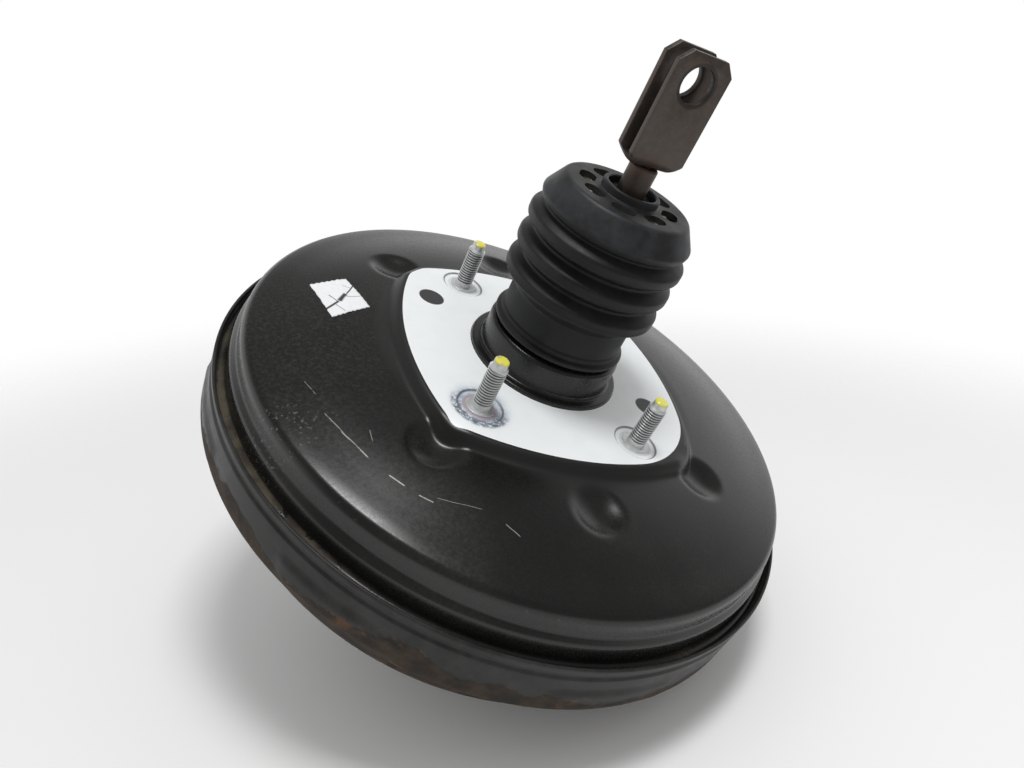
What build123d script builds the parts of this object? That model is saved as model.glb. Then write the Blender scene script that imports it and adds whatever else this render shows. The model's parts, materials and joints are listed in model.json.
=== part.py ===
from build123d import *
from math import cos, hypot, radians, sin, sqrt
import os

os.makedirs("parts", exist_ok=True)

# Vacuum brake booster, millimetres.
# +Z is the booster's axis and points at the brake pedal. The origin is on that axis, in the
# plane of the land that bolts to the firewall, at the centre of the four firewall studs.
# Sheet outlines are lists of corners (radius from the axis, height, corner radius).

# ---------------------------------------------------------------- driving dimensions
# Housing sheet
rear_sheet = 1.4
front_sheet = 1.4

# Rounds shared by small edges
fine_round = 0.3
small_round = 0.5
edge_round = 0.8
bend_round = 2.0
round_share = 0.99

# Tail of the valve body: the neck, its seal, the filters and the boot are sized round it
tail_r = 22.5
tail_wall = 3.0
tail_top = 79.0

# Rear shell, from the neck outwards. A drop is a distance below the firewall land.
collar_room = 3.5
collar_top = 22.0
collar_round = 1.0
neck_step = 5.0
neck_top = 15.0
neck_round = 2.6
neck_foot_round = 1.6
foot_step = 4.5
foot_height = 1.8
foot_round = 1.0
crown_r = 96.0
crown_drop = 5.4
crown_round = 160.0
shoulder_r = 130.0
shoulder_drop = 13.8
shoulder_round = 6.5
ridge_r = 132.6
ridge_drop = 25.5
ridge_rise = 2.4
ridge_round = 2.4
wall_taper = 0.3
ledge_drop = 34.5
ledge_round = 1.8
skirt_r = 136.3
skirt_end = 50.5
skirt_round = 1.5

# Firewall land: a square with bowed sides and round corners, turned about the axis
land_half = 68.0
land_bow_r = 138.0
land_corner_r = 15.0
land_turn = 7.0
land_draft = 35.0
land_under_drop = 1.4

# Round dents pressed into the rear shell, in two groups of three
dent_circle_r = 87.0
dent_width = 23.0
dent_depth = 3.2
dent_round = 2.5
dent_floor_share = 0.45
dent_rim_lift = 0.2
dent_step = 45.0
dents_per_group = 3

# Studs
stud_gap_x = 71.2
stud_gap_y = 92.6
stud_r = 4.0
stud_shank_r = 4.4
stud_length = 23.6
dog_r = 3.0
dog_length = 3.8
stud_chamfer = 0.8
stud_head_r = 8.0
stud_head_height = 2.6
stud_head_round = 0.6
stud_collar_r = 6.2
stud_collar_sink = 0.1
stud_seat_r = 9.6
stud_seat_depth = 0.8
master_stud_gap = 82.0
master_stud_length = 22.0

# Plates that carry the studs inside the housing
backing_sheet = 2.5
rear_backing_margin = 6.0
rear_backing_room = 2.5
front_backing_r = 47.0

# Front shell, from the rim to the nose
rim_gap = 0.4
lip_drop = 31.2
shelf_drop = 58.6
shelf_round = 3.0
drum_r = 127.6
drum_drop = 80.0
drum_lean = 1.0
drum_round = 16.0
cone_foot_r = 90.0
cone_drop = 98.0
cone_foot_round = 8.0
nose_r = 52.0
nose_lean = 2.0
nose_round = 4.0
nose_drop = 112.0
pilot_r = 23.0
pilot_length = 8.0
pilot_round = 2.0
crimp_count = 8
crimp_angle = 22.0
crimp_height = 10.0
crimp_top_drop = 45.0
crimp_depth = 1.0

# Diaphragm and its plate
rubber = 1.6
bead_width = 5.6
plate_sheet = 1.2
plate_r = 113.0
plate_rim = 12.0
plate_rise = 7.0

# Power piston: valve body with the parts inside it
travel = 30.0
filter_bore_bottom = 52.0
filter_ledge = 2.3
valve_floor = 11.0
hub_neck_step = 11.5
hub_top_drop = 8.0
hub_flange_step = 6.0
hub_flange_height = 5.0
hub_front_r = 20.0
hub_front_drop = 46.0
hub_front_round = 1.6
hub_lip = 1.2
running_gap = 0.06
loose_gap = 0.3
seat_gap = 0.05

# Valve plunger, ball joint and input rod
plunger_r = 9.4
plunger_nose_r = 6.0
plunger_nose_length = 8.0
plunger_travel = 2.0
ball_r = 6.5
ball_height = 8.0
socket_grip = 4.0
ball_neck_r = 4.2
ball_neck_top = 26.0
rod_r = 6.0
rod_collar_r = 11.0
rod_collar_height = 2.0
tenon_r = 2.9
tenon_proud = 0.8

# Reaction disc and output rod
disc_r = 12.0
disc_height = 8.0
output_head_height = 5.0
output_rod_r = 5.0
output_tip_drop = 98.0
cup_sheet = 1.0
cup_flange_r = 29.5

# Rubber poppet
poppet_sheet = 2.2
poppet_lift = 0.3
poppet_height = 12.0
poppet_bead = 3.0
poppet_sleeve = 3.4
retainer_sheet = 1.0
retainer_height = 9.0

# Stop key
key_width = 14.0
key_mouth = 8.0
key_play = 0.2
key_thickness = 1.8
key_overhang = 5.0
key_drop = 2.6

# Neck seal and guides
seal_height = 7.0
guide_height = 3.2

# Springs
return_wire = 3.8
return_turns = 5
return_front_r = 29.5
poppet_wire = 1.1
poppet_turns = 4
rod_spring_wire = 1.6
rod_spring_turns = 5
disc_wire = 0.6
disc_turns = 3

# Felt and foam in the valve body's tail
felt_height = 10.0
foam_height = 9.0
filter_hole_r = 9.4

# Clevis: a steel strap bent into a U
clevis_sheet = 2.5
clevis_gap = 6.5
clevis_width = 25.5
clevis_top = 142.5
clevis_base = 97.5
clevis_corner = 4.6
clevis_bend_r = 4.4
clevis_side_round = 2.0
pin_height = 131.5
pin_r = 7.0
pin_turn = 14.0

# Dust boot
boot_wall = 1.8
boot_grip = 0.1
boot_bead = 1.3
boot_fold = 5.5
boot_ring_heights = (41.4, 53.2, 64.6)
boot_ring_half = 4.0
boot_start = 16.6
boot_cap_fold = 4.0
boot_cap_bottom = 71.6
boot_cap_edge = 74.6
boot_top = 84.0
boot_top_step = 2.0
boot_ring_top = 87.5
boot_ring_outer_r = 12.4
boot_ring_inner_r = 10.4
air_hole_count = 8
air_hole_circle_r = 18.2
air_hole_width = 7.2
air_hole_length = 10.5

# Vacuum check valve on the front shell
check_circle_r = 72.0
check_angle = 60.0
grommet_r = 11.5
grommet_hole_r = 6.6
grommet_groove_r = 9.2
grommet_lip = 2.6
check_body_r = 9.0
check_step = 1.0
check_stub = 2.0
check_chamber_r = 5.6
check_chamber_height = 8.0
check_disc_r = 5.0
check_disc_height = 1.6
check_travel = 1.5
check_seat_hole_r = 3.0
hose_r = 5.0
hose_hole_r = 3.0
hose_reach = 34.0
hose_stop_r = 6.5
hose_stop_reach = 11.0
hose_chamfer = 0.8
elbow_wall = 1.5

# ---------------------------------------------------------------- sizes that follow
collar_r = tail_r + collar_room
neck_r = collar_r + neck_step
foot_r = neck_r + foot_step
rear_backing_hole_r = neck_r + rear_backing_room
filter_bore_r = tail_r - tail_wall
valve_bore_r = filter_bore_r - filter_ledge
hub_neck_r = tail_r + hub_neck_step
hub_flange_r = hub_neck_r + hub_flange_step
key_reach = tail_r + key_overhang
sleeve_r = collar_r + boot_grip + boot_wall
boot_bead_r = sleeve_r + boot_bead
boot_valley_r = boot_bead_r
boot_ring_r = boot_valley_r + boot_fold
boot_cap_r = boot_valley_r + boot_cap_fold
boot_top_r = boot_valley_r - boot_top_step
rim_r = skirt_r + rim_gap + front_sheet
pilot_wall_r = pilot_r + front_sheet
rear_backing_top = -(stud_seat_depth + rear_sheet)
rear_backing_bottom = rear_backing_top - backing_sheet
front_backing_bottom = -nose_drop + front_sheet
front_backing_top = front_backing_bottom + backing_sheet
shelf_top = -shelf_drop + front_sheet
bead_height = -skirt_end - shelf_top
hub_top = -hub_top_drop
bead_hub_top = hub_top - hub_lip
plate_top = bead_hub_top - bead_width * 0.6
flange_top = plate_top - plate_sheet
flange_bottom = flange_top - hub_flange_height
key_top = -key_drop
key_bottom = key_top - key_thickness
plunger_top = ball_height + ball_r - loose_gap
nose_top = -16.0
nose_bottom = nose_top - plunger_nose_length
disc_top = nose_bottom - plunger_travel
disc_bottom = disc_top - disc_height
output_head_bottom = disc_bottom - output_head_height
clevis_outer = clevis_gap + 2 * clevis_sheet
pin_axis = Vector(sin(radians(pin_turn)), -cos(radians(pin_turn)), 0)
stud_places = [
    (x * stud_gap_x / 2, y * stud_gap_y / 2) for x, y in ((-1, 1), (-1, -1), (1, -1), (1, 1))
]
check_place = (
    check_circle_r * cos(radians(check_angle)),
    check_circle_r * sin(radians(check_angle)),
)


# ---------------------------------------------------------------- shaping helpers
def outline(corners):
    """Closed face in the XZ plane with a round at each corner."""
    points = [(r, z) for r, z, _ in corners]
    rounds = [bend for _, _, bend in corners]
    return Plane.XZ * make_face(FilletPolyline(*points, radius=rounds, close=True))


def turned(corners):
    """Solid turned about the booster's axis."""
    return revolve(outline(corners), Axis.Z)


def pipe(r_out, r_in, bottom, top):
    """Plain ring or tube on the axis."""
    body = Pos(0, 0, bottom) * Cylinder(r_out, top - bottom, align=(Align.CENTER, Align.CENTER, Align.MIN))
    if r_in > 0:
        body -= Pos(0, 0, bottom) * Cylinder(
            r_in, top - bottom, align=(Align.CENTER, Align.CENTER, Align.MIN)
        )
    return body


def within_runs(corners, half_turns):
    """Corners whose rounds are cut down where a straight run beside them is too short."""
    eased = list(corners)
    for i in range(1, len(eased) - 1):
        r, z, bend = eased[i]
        for j in (i - 1, i + 1):
            if bend and half_turns[i]:
                run = hypot(eased[j][0] - r, eased[j][1] - z)
                room = (run - eased[j][2] * half_turns[j]) * round_share
                bend = min(bend, room / half_turns[i])
        eased[i] = (r, z, bend)
    return eased


def beneath(path, wall):
    """Corners of a sheet's inner line, one wall to the right of its outer line."""
    steps = []
    for (r0, z0, _), (r1, z1, _) in zip(path, path[1:]):
        length = hypot(r1 - r0, z1 - z0)
        steps.append(((r1 - r0) / length, (z1 - z0) / length))
    inner = []
    half_turns = []
    for i, (r, z, bend) in enumerate(path):
        a = steps[max(i - 1, 0)]
        b = steps[min(i, len(steps) - 1)]
        share = wall / (1 + a[0] * b[0] + a[1] * b[1])
        turn = a[0] * b[1] - a[1] * b[0]
        inside = bend + wall if turn > 0 else max(bend - wall, 0.0)
        inner.append((r + share * (a[1] + b[1]), z - share * (a[0] + b[0]), inside if bend else 0.0))
        half_turns.append(abs(turn) * share / wall if wall else 0.0)
    return within_runs(inner, half_turns)


def height_on(path, radius):
    """Height of a sheet's outer line at a radius, along its straight runs."""
    for (r0, z0, _), (r1, z1, _) in zip(path, path[1:]):
        if r0 <= radius <= r1:
            return z0 + (z1 - z0) * (radius - r0) / (r1 - r0)
    raise ValueError("no straight run at this radius")


def bowed_square(half, turn):
    """Square with bowed sides and round corners, half its width from side to centre."""
    shift = land_bow_r - half
    face = Pos(-shift, 0) * Circle(land_bow_r)
    for place in ((shift, 0), (0, shift), (0, -shift)):
        face &= Pos(*place) * Circle(land_bow_r)
    return Rot(0, 0, turn) * fillet(face.vertices(), land_corner_r)


def degrees_of(rise, run):
    """Angle whose tangent is rise over run."""
    return Vector(run, 0, 0).get_angle(Vector(run, rise, 0)) * (1 if rise > 0 else -1)


def coil(wire, turns, bottom, top, bottom_r, top_r):
    """Helical spring between two heights, its wire inside both."""
    low = bottom + wire / 2
    high = top - wire / 2
    lean = degrees_of(top_r - bottom_r, high - low)
    path = Helix((high - low) / turns, high - low, bottom_r, (0, 0, low), cone_angle=lean)
    return sweep(Plane(path @ 0, z_dir=path % 0) * Circle(wire / 2), path=path, is_frenet=True)


# ---------------------------------------------------------------- housing
def rear_path():
    """Outer line of the rear shell, from the top of its neck to the end of its skirt."""
    return [
        (collar_r, collar_top, 0),
        (collar_r, neck_top, collar_round),
        (neck_r, neck_top, neck_round),
        (neck_r, foot_height, neck_foot_round),
        (foot_r, foot_height, foot_round),
        (foot_r, -land_under_drop, foot_round),
        (crown_r, -crown_drop, crown_round),
        (shoulder_r, -shoulder_drop, shoulder_round),
        (shoulder_r + wall_taper, -ridge_drop + ridge_rise, bend_round),
        (ridge_r, -ridge_drop, ridge_round),
        (ridge_r + wall_taper, -ledge_drop, ledge_round),
        (skirt_r, -ledge_drop, skirt_round),
        (skirt_r, -skirt_end, 0),
    ]


def dent_angles():
    """Angles of the round dents: two groups, opposite each other across the land."""
    middle = (dents_per_group - 1) / 2
    for side in (90.0, -90.0):
        for i in range(dents_per_group):
            yield land_turn + side + (i - middle) * dent_step


def dent(shift):
    """Cutter for one round dent, standing on the crown's normal, its rim rolled over."""
    half = dent_width / 2
    cutter = turned(
        [
            (0, -dent_depth - shift, 0),
            (half * dent_floor_share, -dent_depth - shift, dent_width * 0.4),
            (half, dent_rim_lift - shift, dent_round),
            (half + dent_round, 2 * dent_rim_lift - shift, 0),
            (half + dent_round, dent_width, 0),
            (0, dent_width, 0),
        ]
    )
    outer = rear_path()
    near = height_on(outer, dent_circle_r - half)
    far = height_on(outer, dent_circle_r + half)
    lean = degrees_of(near - far, dent_width)
    return Pos(dent_circle_r, 0, height_on(outer, dent_circle_r)) * (Rot(0, lean, 0) * cutter)


def rear_form(path, floor, lid, land, land_top, shift, seat_r, seat_floor):
    """Filled solid under one side of the rear sheet: turned body, raised land, dents and stud seats."""
    form = turned([(0, lid, 0), (path[0][0], lid, 0), *path[1:-1], (path[-1][0], floor, 0), (0, floor, 0)])
    raised = Pos(0, 0, land_top) * bowed_square(land, land_turn)
    form += extrude(raised, amount=-shoulder_drop, taper=-land_draft)
    cutter = dent(shift)
    for angle in dent_angles():
        form -= Rot(0, 0, angle) * cutter
    for x, y in stud_places:
        form -= Pos(x, y, seat_floor) * Cylinder(
            seat_r, shoulder_drop, align=(Align.CENTER, Align.CENTER, Align.MIN)
        )
    return form


def rear_shell():
    """Rear half of the housing: neck, firewall land, crowned face, shoulder, ledge and skirt."""
    outer = rear_path()
    inner = beneath(outer, rear_sheet)
    body = rear_form(outer, -skirt_end, collar_top, land_half, 0, 0, stud_seat_r, -stud_seat_depth)
    inside = rear_form(
        inner,
        -skirt_end - 5,
        collar_top + 5,
        land_half - rear_sheet,
        -rear_sheet,
        rear_sheet,
        stud_seat_r + rear_sheet,
        -stud_seat_depth - rear_sheet,
    )
    body -= inside
    for x, y in stud_places:
        body -= Pos(x, y, 0) * Cylinder(stud_shank_r + running_gap, 4 * rear_sheet)
    return body


def front_path():
    """Outer line of the front shell, from the lip round its rim to the middle of its nose."""
    return [
        (rim_r, -lip_drop, 0),
        (rim_r, -shelf_drop, shelf_round),
        (drum_r, -shelf_drop, bend_round),
        (drum_r - drum_lean, -drum_drop, drum_round),
        (cone_foot_r, -cone_drop, cone_foot_round),
        (nose_r + nose_lean, -cone_drop, nose_round),
        (nose_r, -nose_drop, nose_round),
        (0, -nose_drop, 0),
    ]


def front_form(path, lid, crimp_r, crimp_low, crimp_high):
    """Filled solid inside one side of the front sheet, with its crimped pockets."""
    form = turned([(path[0][0], lid, 0), *path[1:], (0, lid, 0)])
    root = crimp_r - 6 * crimp_depth
    pocket = outline(
        [
            (root, crimp_low, 0),
            (crimp_r, crimp_low + crimp_depth, edge_round),
            (crimp_r, crimp_high - crimp_depth, edge_round),
            (root, crimp_high, 0),
        ]
    )
    for i in range(crimp_count):
        turn = i * 360 / crimp_count
        form += Rot(0, 0, turn) * revolve(pocket, Axis.Z, revolution_arc=crimp_angle)
    return form


def front_shell():
    """Front half of the housing: lip, crimped rim, shelf, drum, cone and master-cylinder nose."""
    outer = front_path()
    inner = beneath(outer, front_sheet)
    low = -crimp_top_drop - crimp_height
    body = front_form(outer, -lip_drop, rim_r + crimp_depth, low, -crimp_top_drop)
    inside = front_form(
        inner,
        -lip_drop + 5,
        rim_r + crimp_depth - front_sheet,
        low + front_sheet,
        -crimp_top_drop - front_sheet,
    )
    inside -= pipe(pilot_wall_r, 0, -nose_drop, -nose_drop + pilot_round + pilot_length)
    body -= inside
    body -= pipe(pilot_r, 0, -nose_drop - 1, -nose_drop + 2 * pilot_length)
    mouth = body.edges().filter_by_position(Axis.Z, -nose_drop - 0.01, -nose_drop + 0.01).sort_by(Edge.length)
    body = fillet(mouth[0], pilot_round)
    for side in (-1, 1):
        hole = Cylinder(stud_shank_r + running_gap, 4 * front_sheet)
        body -= Pos(side * master_stud_gap / 2, 0, -nose_drop) * hole
    body -= Pos(*check_place, -cone_drop) * Cylinder(grommet_groove_r, 4 * front_sheet)
    return body


def stud_root(head_top, shank_top):
    """Outline of a stud's pressed-in end: flat head and shank."""
    head_bottom = head_top - stud_head_height
    return [
        (0, head_bottom, 0),
        (stud_head_r, head_bottom, stud_head_round),
        (stud_head_r, head_top, stud_head_round),
        (stud_shank_r, head_top, 0),
        (stud_shank_r, shank_top, 0),
    ]


def firewall_studs():
    """Four studs pressed through the rear backing plate and the land, each with a collar and a dog point."""
    thread_end = stud_length - dog_length
    one = turned(
        [
            *stud_root(rear_backing_bottom, -stud_seat_depth),
            (stud_collar_r, -stud_seat_depth, 0),
            (stud_collar_r, -stud_collar_sink, fine_round),
            (stud_r, -stud_collar_sink, 0),
            (stud_r, thread_end, 0),
            (stud_r - stud_chamfer, thread_end + stud_chamfer, 0),
            (dog_r, thread_end + stud_chamfer, 0),
            (dog_r, stud_length - small_round, 0),
            (dog_r - small_round, stud_length, 0),
            (0, stud_length, 0),
        ]
    )
    return [Pos(x, y, 0) * one for x, y in stud_places]


def master_cylinder_studs():
    """Two studs pressed through the front backing plate and the nose."""
    one = turned(
        [
            *stud_root(-front_sheet - backing_sheet, 0),
            (stud_r, 0, 0),
            (stud_r, master_stud_length - stud_chamfer, 0),
            (stud_r - stud_chamfer, master_stud_length, 0),
            (0, master_stud_length, 0),
        ]
    )
    down = Rot(180, 0, 0) * one
    return [Pos(side * master_stud_gap / 2, 0, -nose_drop) * down for side in (-1, 1)]


def rear_backing_plate():
    """Thick plate behind the land that the firewall studs are pressed into."""
    face = bowed_square(land_half - rear_backing_margin, land_turn)
    plate = Pos(0, 0, rear_backing_bottom) * extrude(face, amount=backing_sheet)
    plate -= Pos(0, 0, rear_backing_bottom) * Cylinder(rear_backing_hole_r, 4 * backing_sheet)
    for x, y in stud_places:
        plate -= Pos(x, y, rear_backing_bottom) * Cylinder(stud_shank_r + running_gap, 4 * backing_sheet)
    return plate


def front_backing_plate():
    """Thick ring behind the nose that the master-cylinder studs are pressed into."""
    plate = pipe(front_backing_r, pilot_wall_r + loose_gap, front_backing_bottom, front_backing_top)
    for side in (-1, 1):
        hole = Cylinder(stud_shank_r + running_gap, 4 * backing_sheet)
        plate -= Pos(side * master_stud_gap / 2, 0, front_backing_top) * hole
    return plate


# ---------------------------------------------------------------- neck seal
neck_bore_r = neck_r - rear_sheet - running_gap
retainer_bottom = key_top + 0.2
retainer_top = 1.2


def neck_seal():
    """Rubber lip seal between the neck and the valve body's tail."""
    inside = tail_r + running_gap
    top = retainer_top + seal_height
    return turned(
        [
            (inside, retainer_top, 0),
            (neck_bore_r, retainer_top, 0.4),
            (neck_bore_r, top, 0.4),
            (neck_bore_r - 2.4, top, 0.6),
            (neck_bore_r - 3.2, retainer_top + 2.6, 0.8),
            (inside + 2.2, retainer_top + 2.6, 0.5),
            (inside + 0.9, top - 0.6, 0),
            (inside, top - 0.6, 0),
        ]
    )


def neck_guide():
    """Plastic ring in the top of the neck that the tail slides in."""
    bottom = retainer_top + seal_height
    return pipe(neck_bore_r, tail_r + running_gap, bottom, bottom + guide_height)


def seal_retainer():
    """Plastic ring that holds the neck seal in and stops the key at rest."""
    return turned(
        [
            (tail_r + 1.2, retainer_bottom, 0.3),
            (neck_r, retainer_bottom, 0.3),
            (neck_r, -rear_sheet, 0),
            (neck_bore_r - 1.2, -rear_sheet, 0),
            (neck_bore_r - 1.2, retainer_top, 0.3),
            (tail_r + 1.2, retainer_top, 0.3),
        ]
    )


# ---------------------------------------------------------------- power piston
def plate_path():
    """Rear line of the dished diaphragm plate, from its hub to the end of its rim."""
    return [
        (hub_neck_r + running_gap, plate_top, 0),
        (hub_flange_r + 8.0, plate_top, 12.0),
        (plate_r - 6.0, plate_top - plate_rise, 6.0),
        (plate_r, plate_top - plate_rise - plate_rim, 0),
    ]


def diaphragm_plate():
    """Pressed steel disc that backs the diaphragm and pushes on the valve body's flange."""
    rear = plate_path()
    return turned([*rear, *reversed(beneath(rear, plate_sheet))])


def diaphragm():
    """Rubber disc on the rear of its plate, with a bead in the hub and one in the housing rim."""
    sheet = plate_path()
    cover = beneath(sheet, -rubber)
    plate_end = sheet[-1][1]
    hub_r = hub_neck_r + running_gap
    bead_out = skirt_r
    bead_in = bead_out - bead_width
    web_top = -skirt_end - (bead_height - rubber) / 2
    web_low = web_top - rubber
    hang_r = plate_r + 1.5
    hang_low = plate_end - 9.0
    web_r = plate_r + 6.0
    return turned(
        [
            (hub_r, bead_hub_top, 0.5),
            (hub_r + 4.5, bead_hub_top, 0.8),
            (hub_r + 6.5, cover[1][1], 0.8),
            cover[1],
            cover[2],
            (plate_r + rubber, plate_end + 2.0, 4.0),
            (hang_r + rubber, hang_low, 8.0),
            (web_r + rubber, web_top, 6.0),
            (bead_in, web_top, 0.6),
            (bead_in, -skirt_end, 0.8),
            (bead_out, -skirt_end, 0.8),
            (bead_out, shelf_top, 1.2),
            (bead_in, shelf_top, 1.2),
            (bead_in, web_low, 0.6),
            (web_r, web_low, 7.0),
            (hang_r, hang_low, 6.0),
            (plate_r + 0.05, plate_end - 0.5, 1.0),
            (plate_r + 0.05, sheet[2][1] + 0.05, sheet[2][2]),
            (sheet[1][0], sheet[1][1] + 0.02, sheet[1][2]),
            (hub_r, plate_top + 0.02, 0),
        ]
    )


def valve_body():
    """Moulded body of the power piston: long tail, stepped bore, hub flange and front hub."""
    seat_in = plunger_r + 1.6
    outer = [
        (filter_bore_r, tail_top, 0.4),
        (tail_r, tail_top, 0.8),
        (tail_r, hub_top + 3.0, 1.5),
        (hub_neck_r - 3.0, hub_top + 1.5, 2.0),
        (hub_neck_r + hub_lip, hub_top, 0.5),
        (hub_neck_r + hub_lip, bead_hub_top + 0.05, 0.4),
        (hub_neck_r, bead_hub_top, 0),
        (hub_neck_r, flange_top, 0),
        (hub_flange_r, flange_top, 0.6),
        (hub_flange_r, flange_bottom, 0.8),
        (hub_front_r, flange_bottom, 0),
        (hub_front_r, -hub_front_drop, hub_front_round),
        (disc_r + running_gap, -hub_front_drop, 0),
        (disc_r + running_gap, disc_top, 0),
        (plunger_nose_r + loose_gap, disc_top, 0),
        (plunger_nose_r + loose_gap, nose_top - plunger_travel - loose_gap, 0),
        (plunger_r + running_gap, nose_top - plunger_travel - loose_gap, 0),
        (plunger_r + running_gap, valve_floor, 0.4),
        (seat_in, valve_floor, 0),
        (seat_in, plunger_top - 0.6, 0.4),
        (seat_in + 1.4, plunger_top - 0.6, 0.4),
        (seat_in + 1.4, valve_floor, 0),
        (valve_bore_r, valve_floor, 0.6),
        (valve_bore_r, filter_bore_bottom, 0),
        (filter_bore_r, filter_bore_bottom, 0),
    ]
    body = turned(outer)
    slot_z = (key_top + key_bottom) / 2
    slot = Box(2 * key_reach + 20, key_width + 2 * loose_gap, key_thickness + 2 * running_gap)
    return body - Pos(0, 0, slot_z) * slot


def stop_key():
    """Flat fork through the valve body that catches the plunger's groove."""
    mouth = SlotCenterToCenter(2 * key_reach, key_mouth)
    key = extrude(fillet(Rectangle(2 * key_reach, key_width).vertices(), 1.5), amount=key_thickness)
    key -= extrude(Pos(key_reach, 0) * mouth, amount=key_thickness)
    return Pos(0, 0, key_bottom) * key


def valve_plunger():
    """Plunger that the input rod's ball sits in, with the key's groove round it."""
    throat_r = sqrt((ball_r + running_gap) ** 2 - socket_grip**2)
    groove_r = key_mouth / 2 - key_play
    body = turned(
        [
            (0, nose_bottom, 0),
            (plunger_nose_r, nose_bottom, 0.6),
            (plunger_nose_r, nose_top, 0),
            (plunger_r, nose_top, 0.5),
            (plunger_r, key_bottom - loose_gap, 0),
            (groove_r, key_bottom - loose_gap, 0),
            (groove_r, key_top + plunger_travel + loose_gap, 0),
            (plunger_r, key_top + plunger_travel + loose_gap, 0),
            (plunger_r, plunger_top, 0.4),
            (ball_r + 0.6, plunger_top, 0),
            (throat_r, ball_height + socket_grip, 0),
            (0, ball_height + socket_grip, 0),
        ]
    )
    return body - Pos(0, 0, ball_height) * Sphere(ball_r + running_gap)


def reaction_disc():
    """Rubber disc that shares the load between plunger and valve body."""
    return pipe(disc_r, 0, disc_bottom, disc_top)


def output_rod():
    """Rod that pushes the master cylinder's piston, with a wide head on the reaction disc."""
    return turned(
        [
            (0, disc_bottom, 0),
            (disc_r, disc_bottom, 0.5),
            (disc_r, output_head_bottom, 0.8),
            (output_rod_r + 2.0, output_head_bottom, 2.0),
            (output_rod_r, output_head_bottom - 6.0, 4.0),
            (output_rod_r, -output_tip_drop, 3.0),
            (0, -output_tip_drop, 0),
        ]
    )


def output_rod_cup():
    """Pressed cup over the front hub: keeps the output rod in and seats the return spring."""
    inside = hub_front_r + running_gap
    flange_z = flange_bottom - cup_sheet
    path = [
        (cup_flange_r, flange_bottom, 0),
        (inside, flange_bottom, 2.0),
        (inside, -hub_front_drop, hub_front_round),
        (output_rod_r + 4.0, -hub_front_drop, 0),
    ]
    other = [
        (output_rod_r + 4.0, -hub_front_drop - cup_sheet, 0),
        (inside + cup_sheet, -hub_front_drop - cup_sheet, hub_front_round + cup_sheet),
        (inside + cup_sheet, flange_z, 1.0),
        (cup_flange_r, flange_z, 0),
    ]
    return turned([*path, *other])


def return_spring():
    """Main spring between the front backing plate and the cup's flange."""
    seat_r = hub_front_r + running_gap + cup_sheet + return_wire / 2 + loose_gap
    return coil(
        return_wire, return_turns, front_backing_top, flange_bottom - cup_sheet, return_front_r, seat_r
    )


# ---------------------------------------------------------------- control valve
poppet_face = plunger_top + poppet_lift
poppet_bead_top = poppet_face + poppet_height
poppet_bead_bottom = poppet_bead_top - poppet_bead
retainer_r = valve_bore_r - running_gap


def poppet_valve():
    """Rubber control valve: a flat face on the seats and a thin sleeve up to a bead."""
    sleeve_in = retainer_r - poppet_sleeve
    hole = ball_neck_r + 3.0
    return turned(
        [
            (hole, poppet_face, 0.3),
            (retainer_r - 1.2, poppet_face, 0.5),
            (retainer_r - 1.2, poppet_face + poppet_sheet, 0.6),
            (sleeve_in + 1.2, poppet_face + poppet_sheet + 1.8, 1.0),
            (sleeve_in + 1.2, poppet_bead_bottom, 0),
            (retainer_r, poppet_bead_bottom, 0.5),
            (retainer_r, poppet_bead_top, 0.5),
            (sleeve_in, poppet_bead_top, 0.5),
            (sleeve_in, poppet_face + poppet_sheet, 0.8),
            (hole, poppet_face + poppet_sheet, 0.3),
        ]
    )


def poppet_retainer():
    """Steel ring that clamps the poppet's bead and seats the rod's return spring."""
    top = poppet_bead_top + retainer_height
    sheet_top = poppet_bead_top + retainer_sheet
    return turned(
        [
            (retainer_r - poppet_sleeve, poppet_bead_top, 0),
            (retainer_r, poppet_bead_top, fine_round),
            (retainer_r, top, fine_round),
            (retainer_r - retainer_sheet, top, fine_round),
            (retainer_r - retainer_sheet, sheet_top, edge_round),
            (retainer_r - poppet_sleeve, sheet_top, 0),
        ]
    )


def poppet_spring():
    """Light spring that holds the poppet's face on its seats."""
    mean = retainer_r - poppet_sleeve - poppet_wire
    bottom = poppet_face + poppet_sheet + seat_gap
    return coil(poppet_wire, poppet_turns, bottom, poppet_bead_top - seat_gap, mean, mean)


rod_collar_bottom = filter_bore_bottom - 2.0


def rod_return_spring():
    """Spring that pushes the input rod back against the valve body."""
    low_r = retainer_r - retainer_sheet - rod_spring_wire / 2 - key_play
    high_r = rod_collar_r - rod_spring_wire / 2
    bottom = poppet_bead_top + retainer_sheet + seat_gap
    return coil(rod_spring_wire, rod_spring_turns, bottom, rod_collar_bottom - seat_gap, low_r, high_r)


def input_rod():
    """Push rod from the plunger to the clevis: ball, neck, spring collar, shank and riveted tenon."""
    collar_top_z = rod_collar_bottom + rod_collar_height
    tenon_top = clevis_base + clevis_sheet + tenon_proud
    shank = turned(
        [
            (0, ball_height, 0),
            (ball_neck_r, ball_height, 0),
            (ball_neck_r, ball_neck_top, 1.0),
            (rod_r, ball_neck_top + 2.0, 0.8),
            (rod_r, rod_collar_bottom, 0.8),
            (rod_collar_r, rod_collar_bottom, 0.4),
            (rod_collar_r, collar_top_z, 0.4),
            (rod_r, collar_top_z + 1.0, 0.8),
            (rod_r, clevis_base - 0.6, 0.4),
            (rod_r - 0.6, clevis_base, 0),
            (tenon_r, clevis_base, 0),
            (tenon_r, tenon_top, small_round),
            (0, tenon_top, 0),
        ]
    )
    return shank + Pos(0, 0, ball_height) * Sphere(ball_r)


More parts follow.
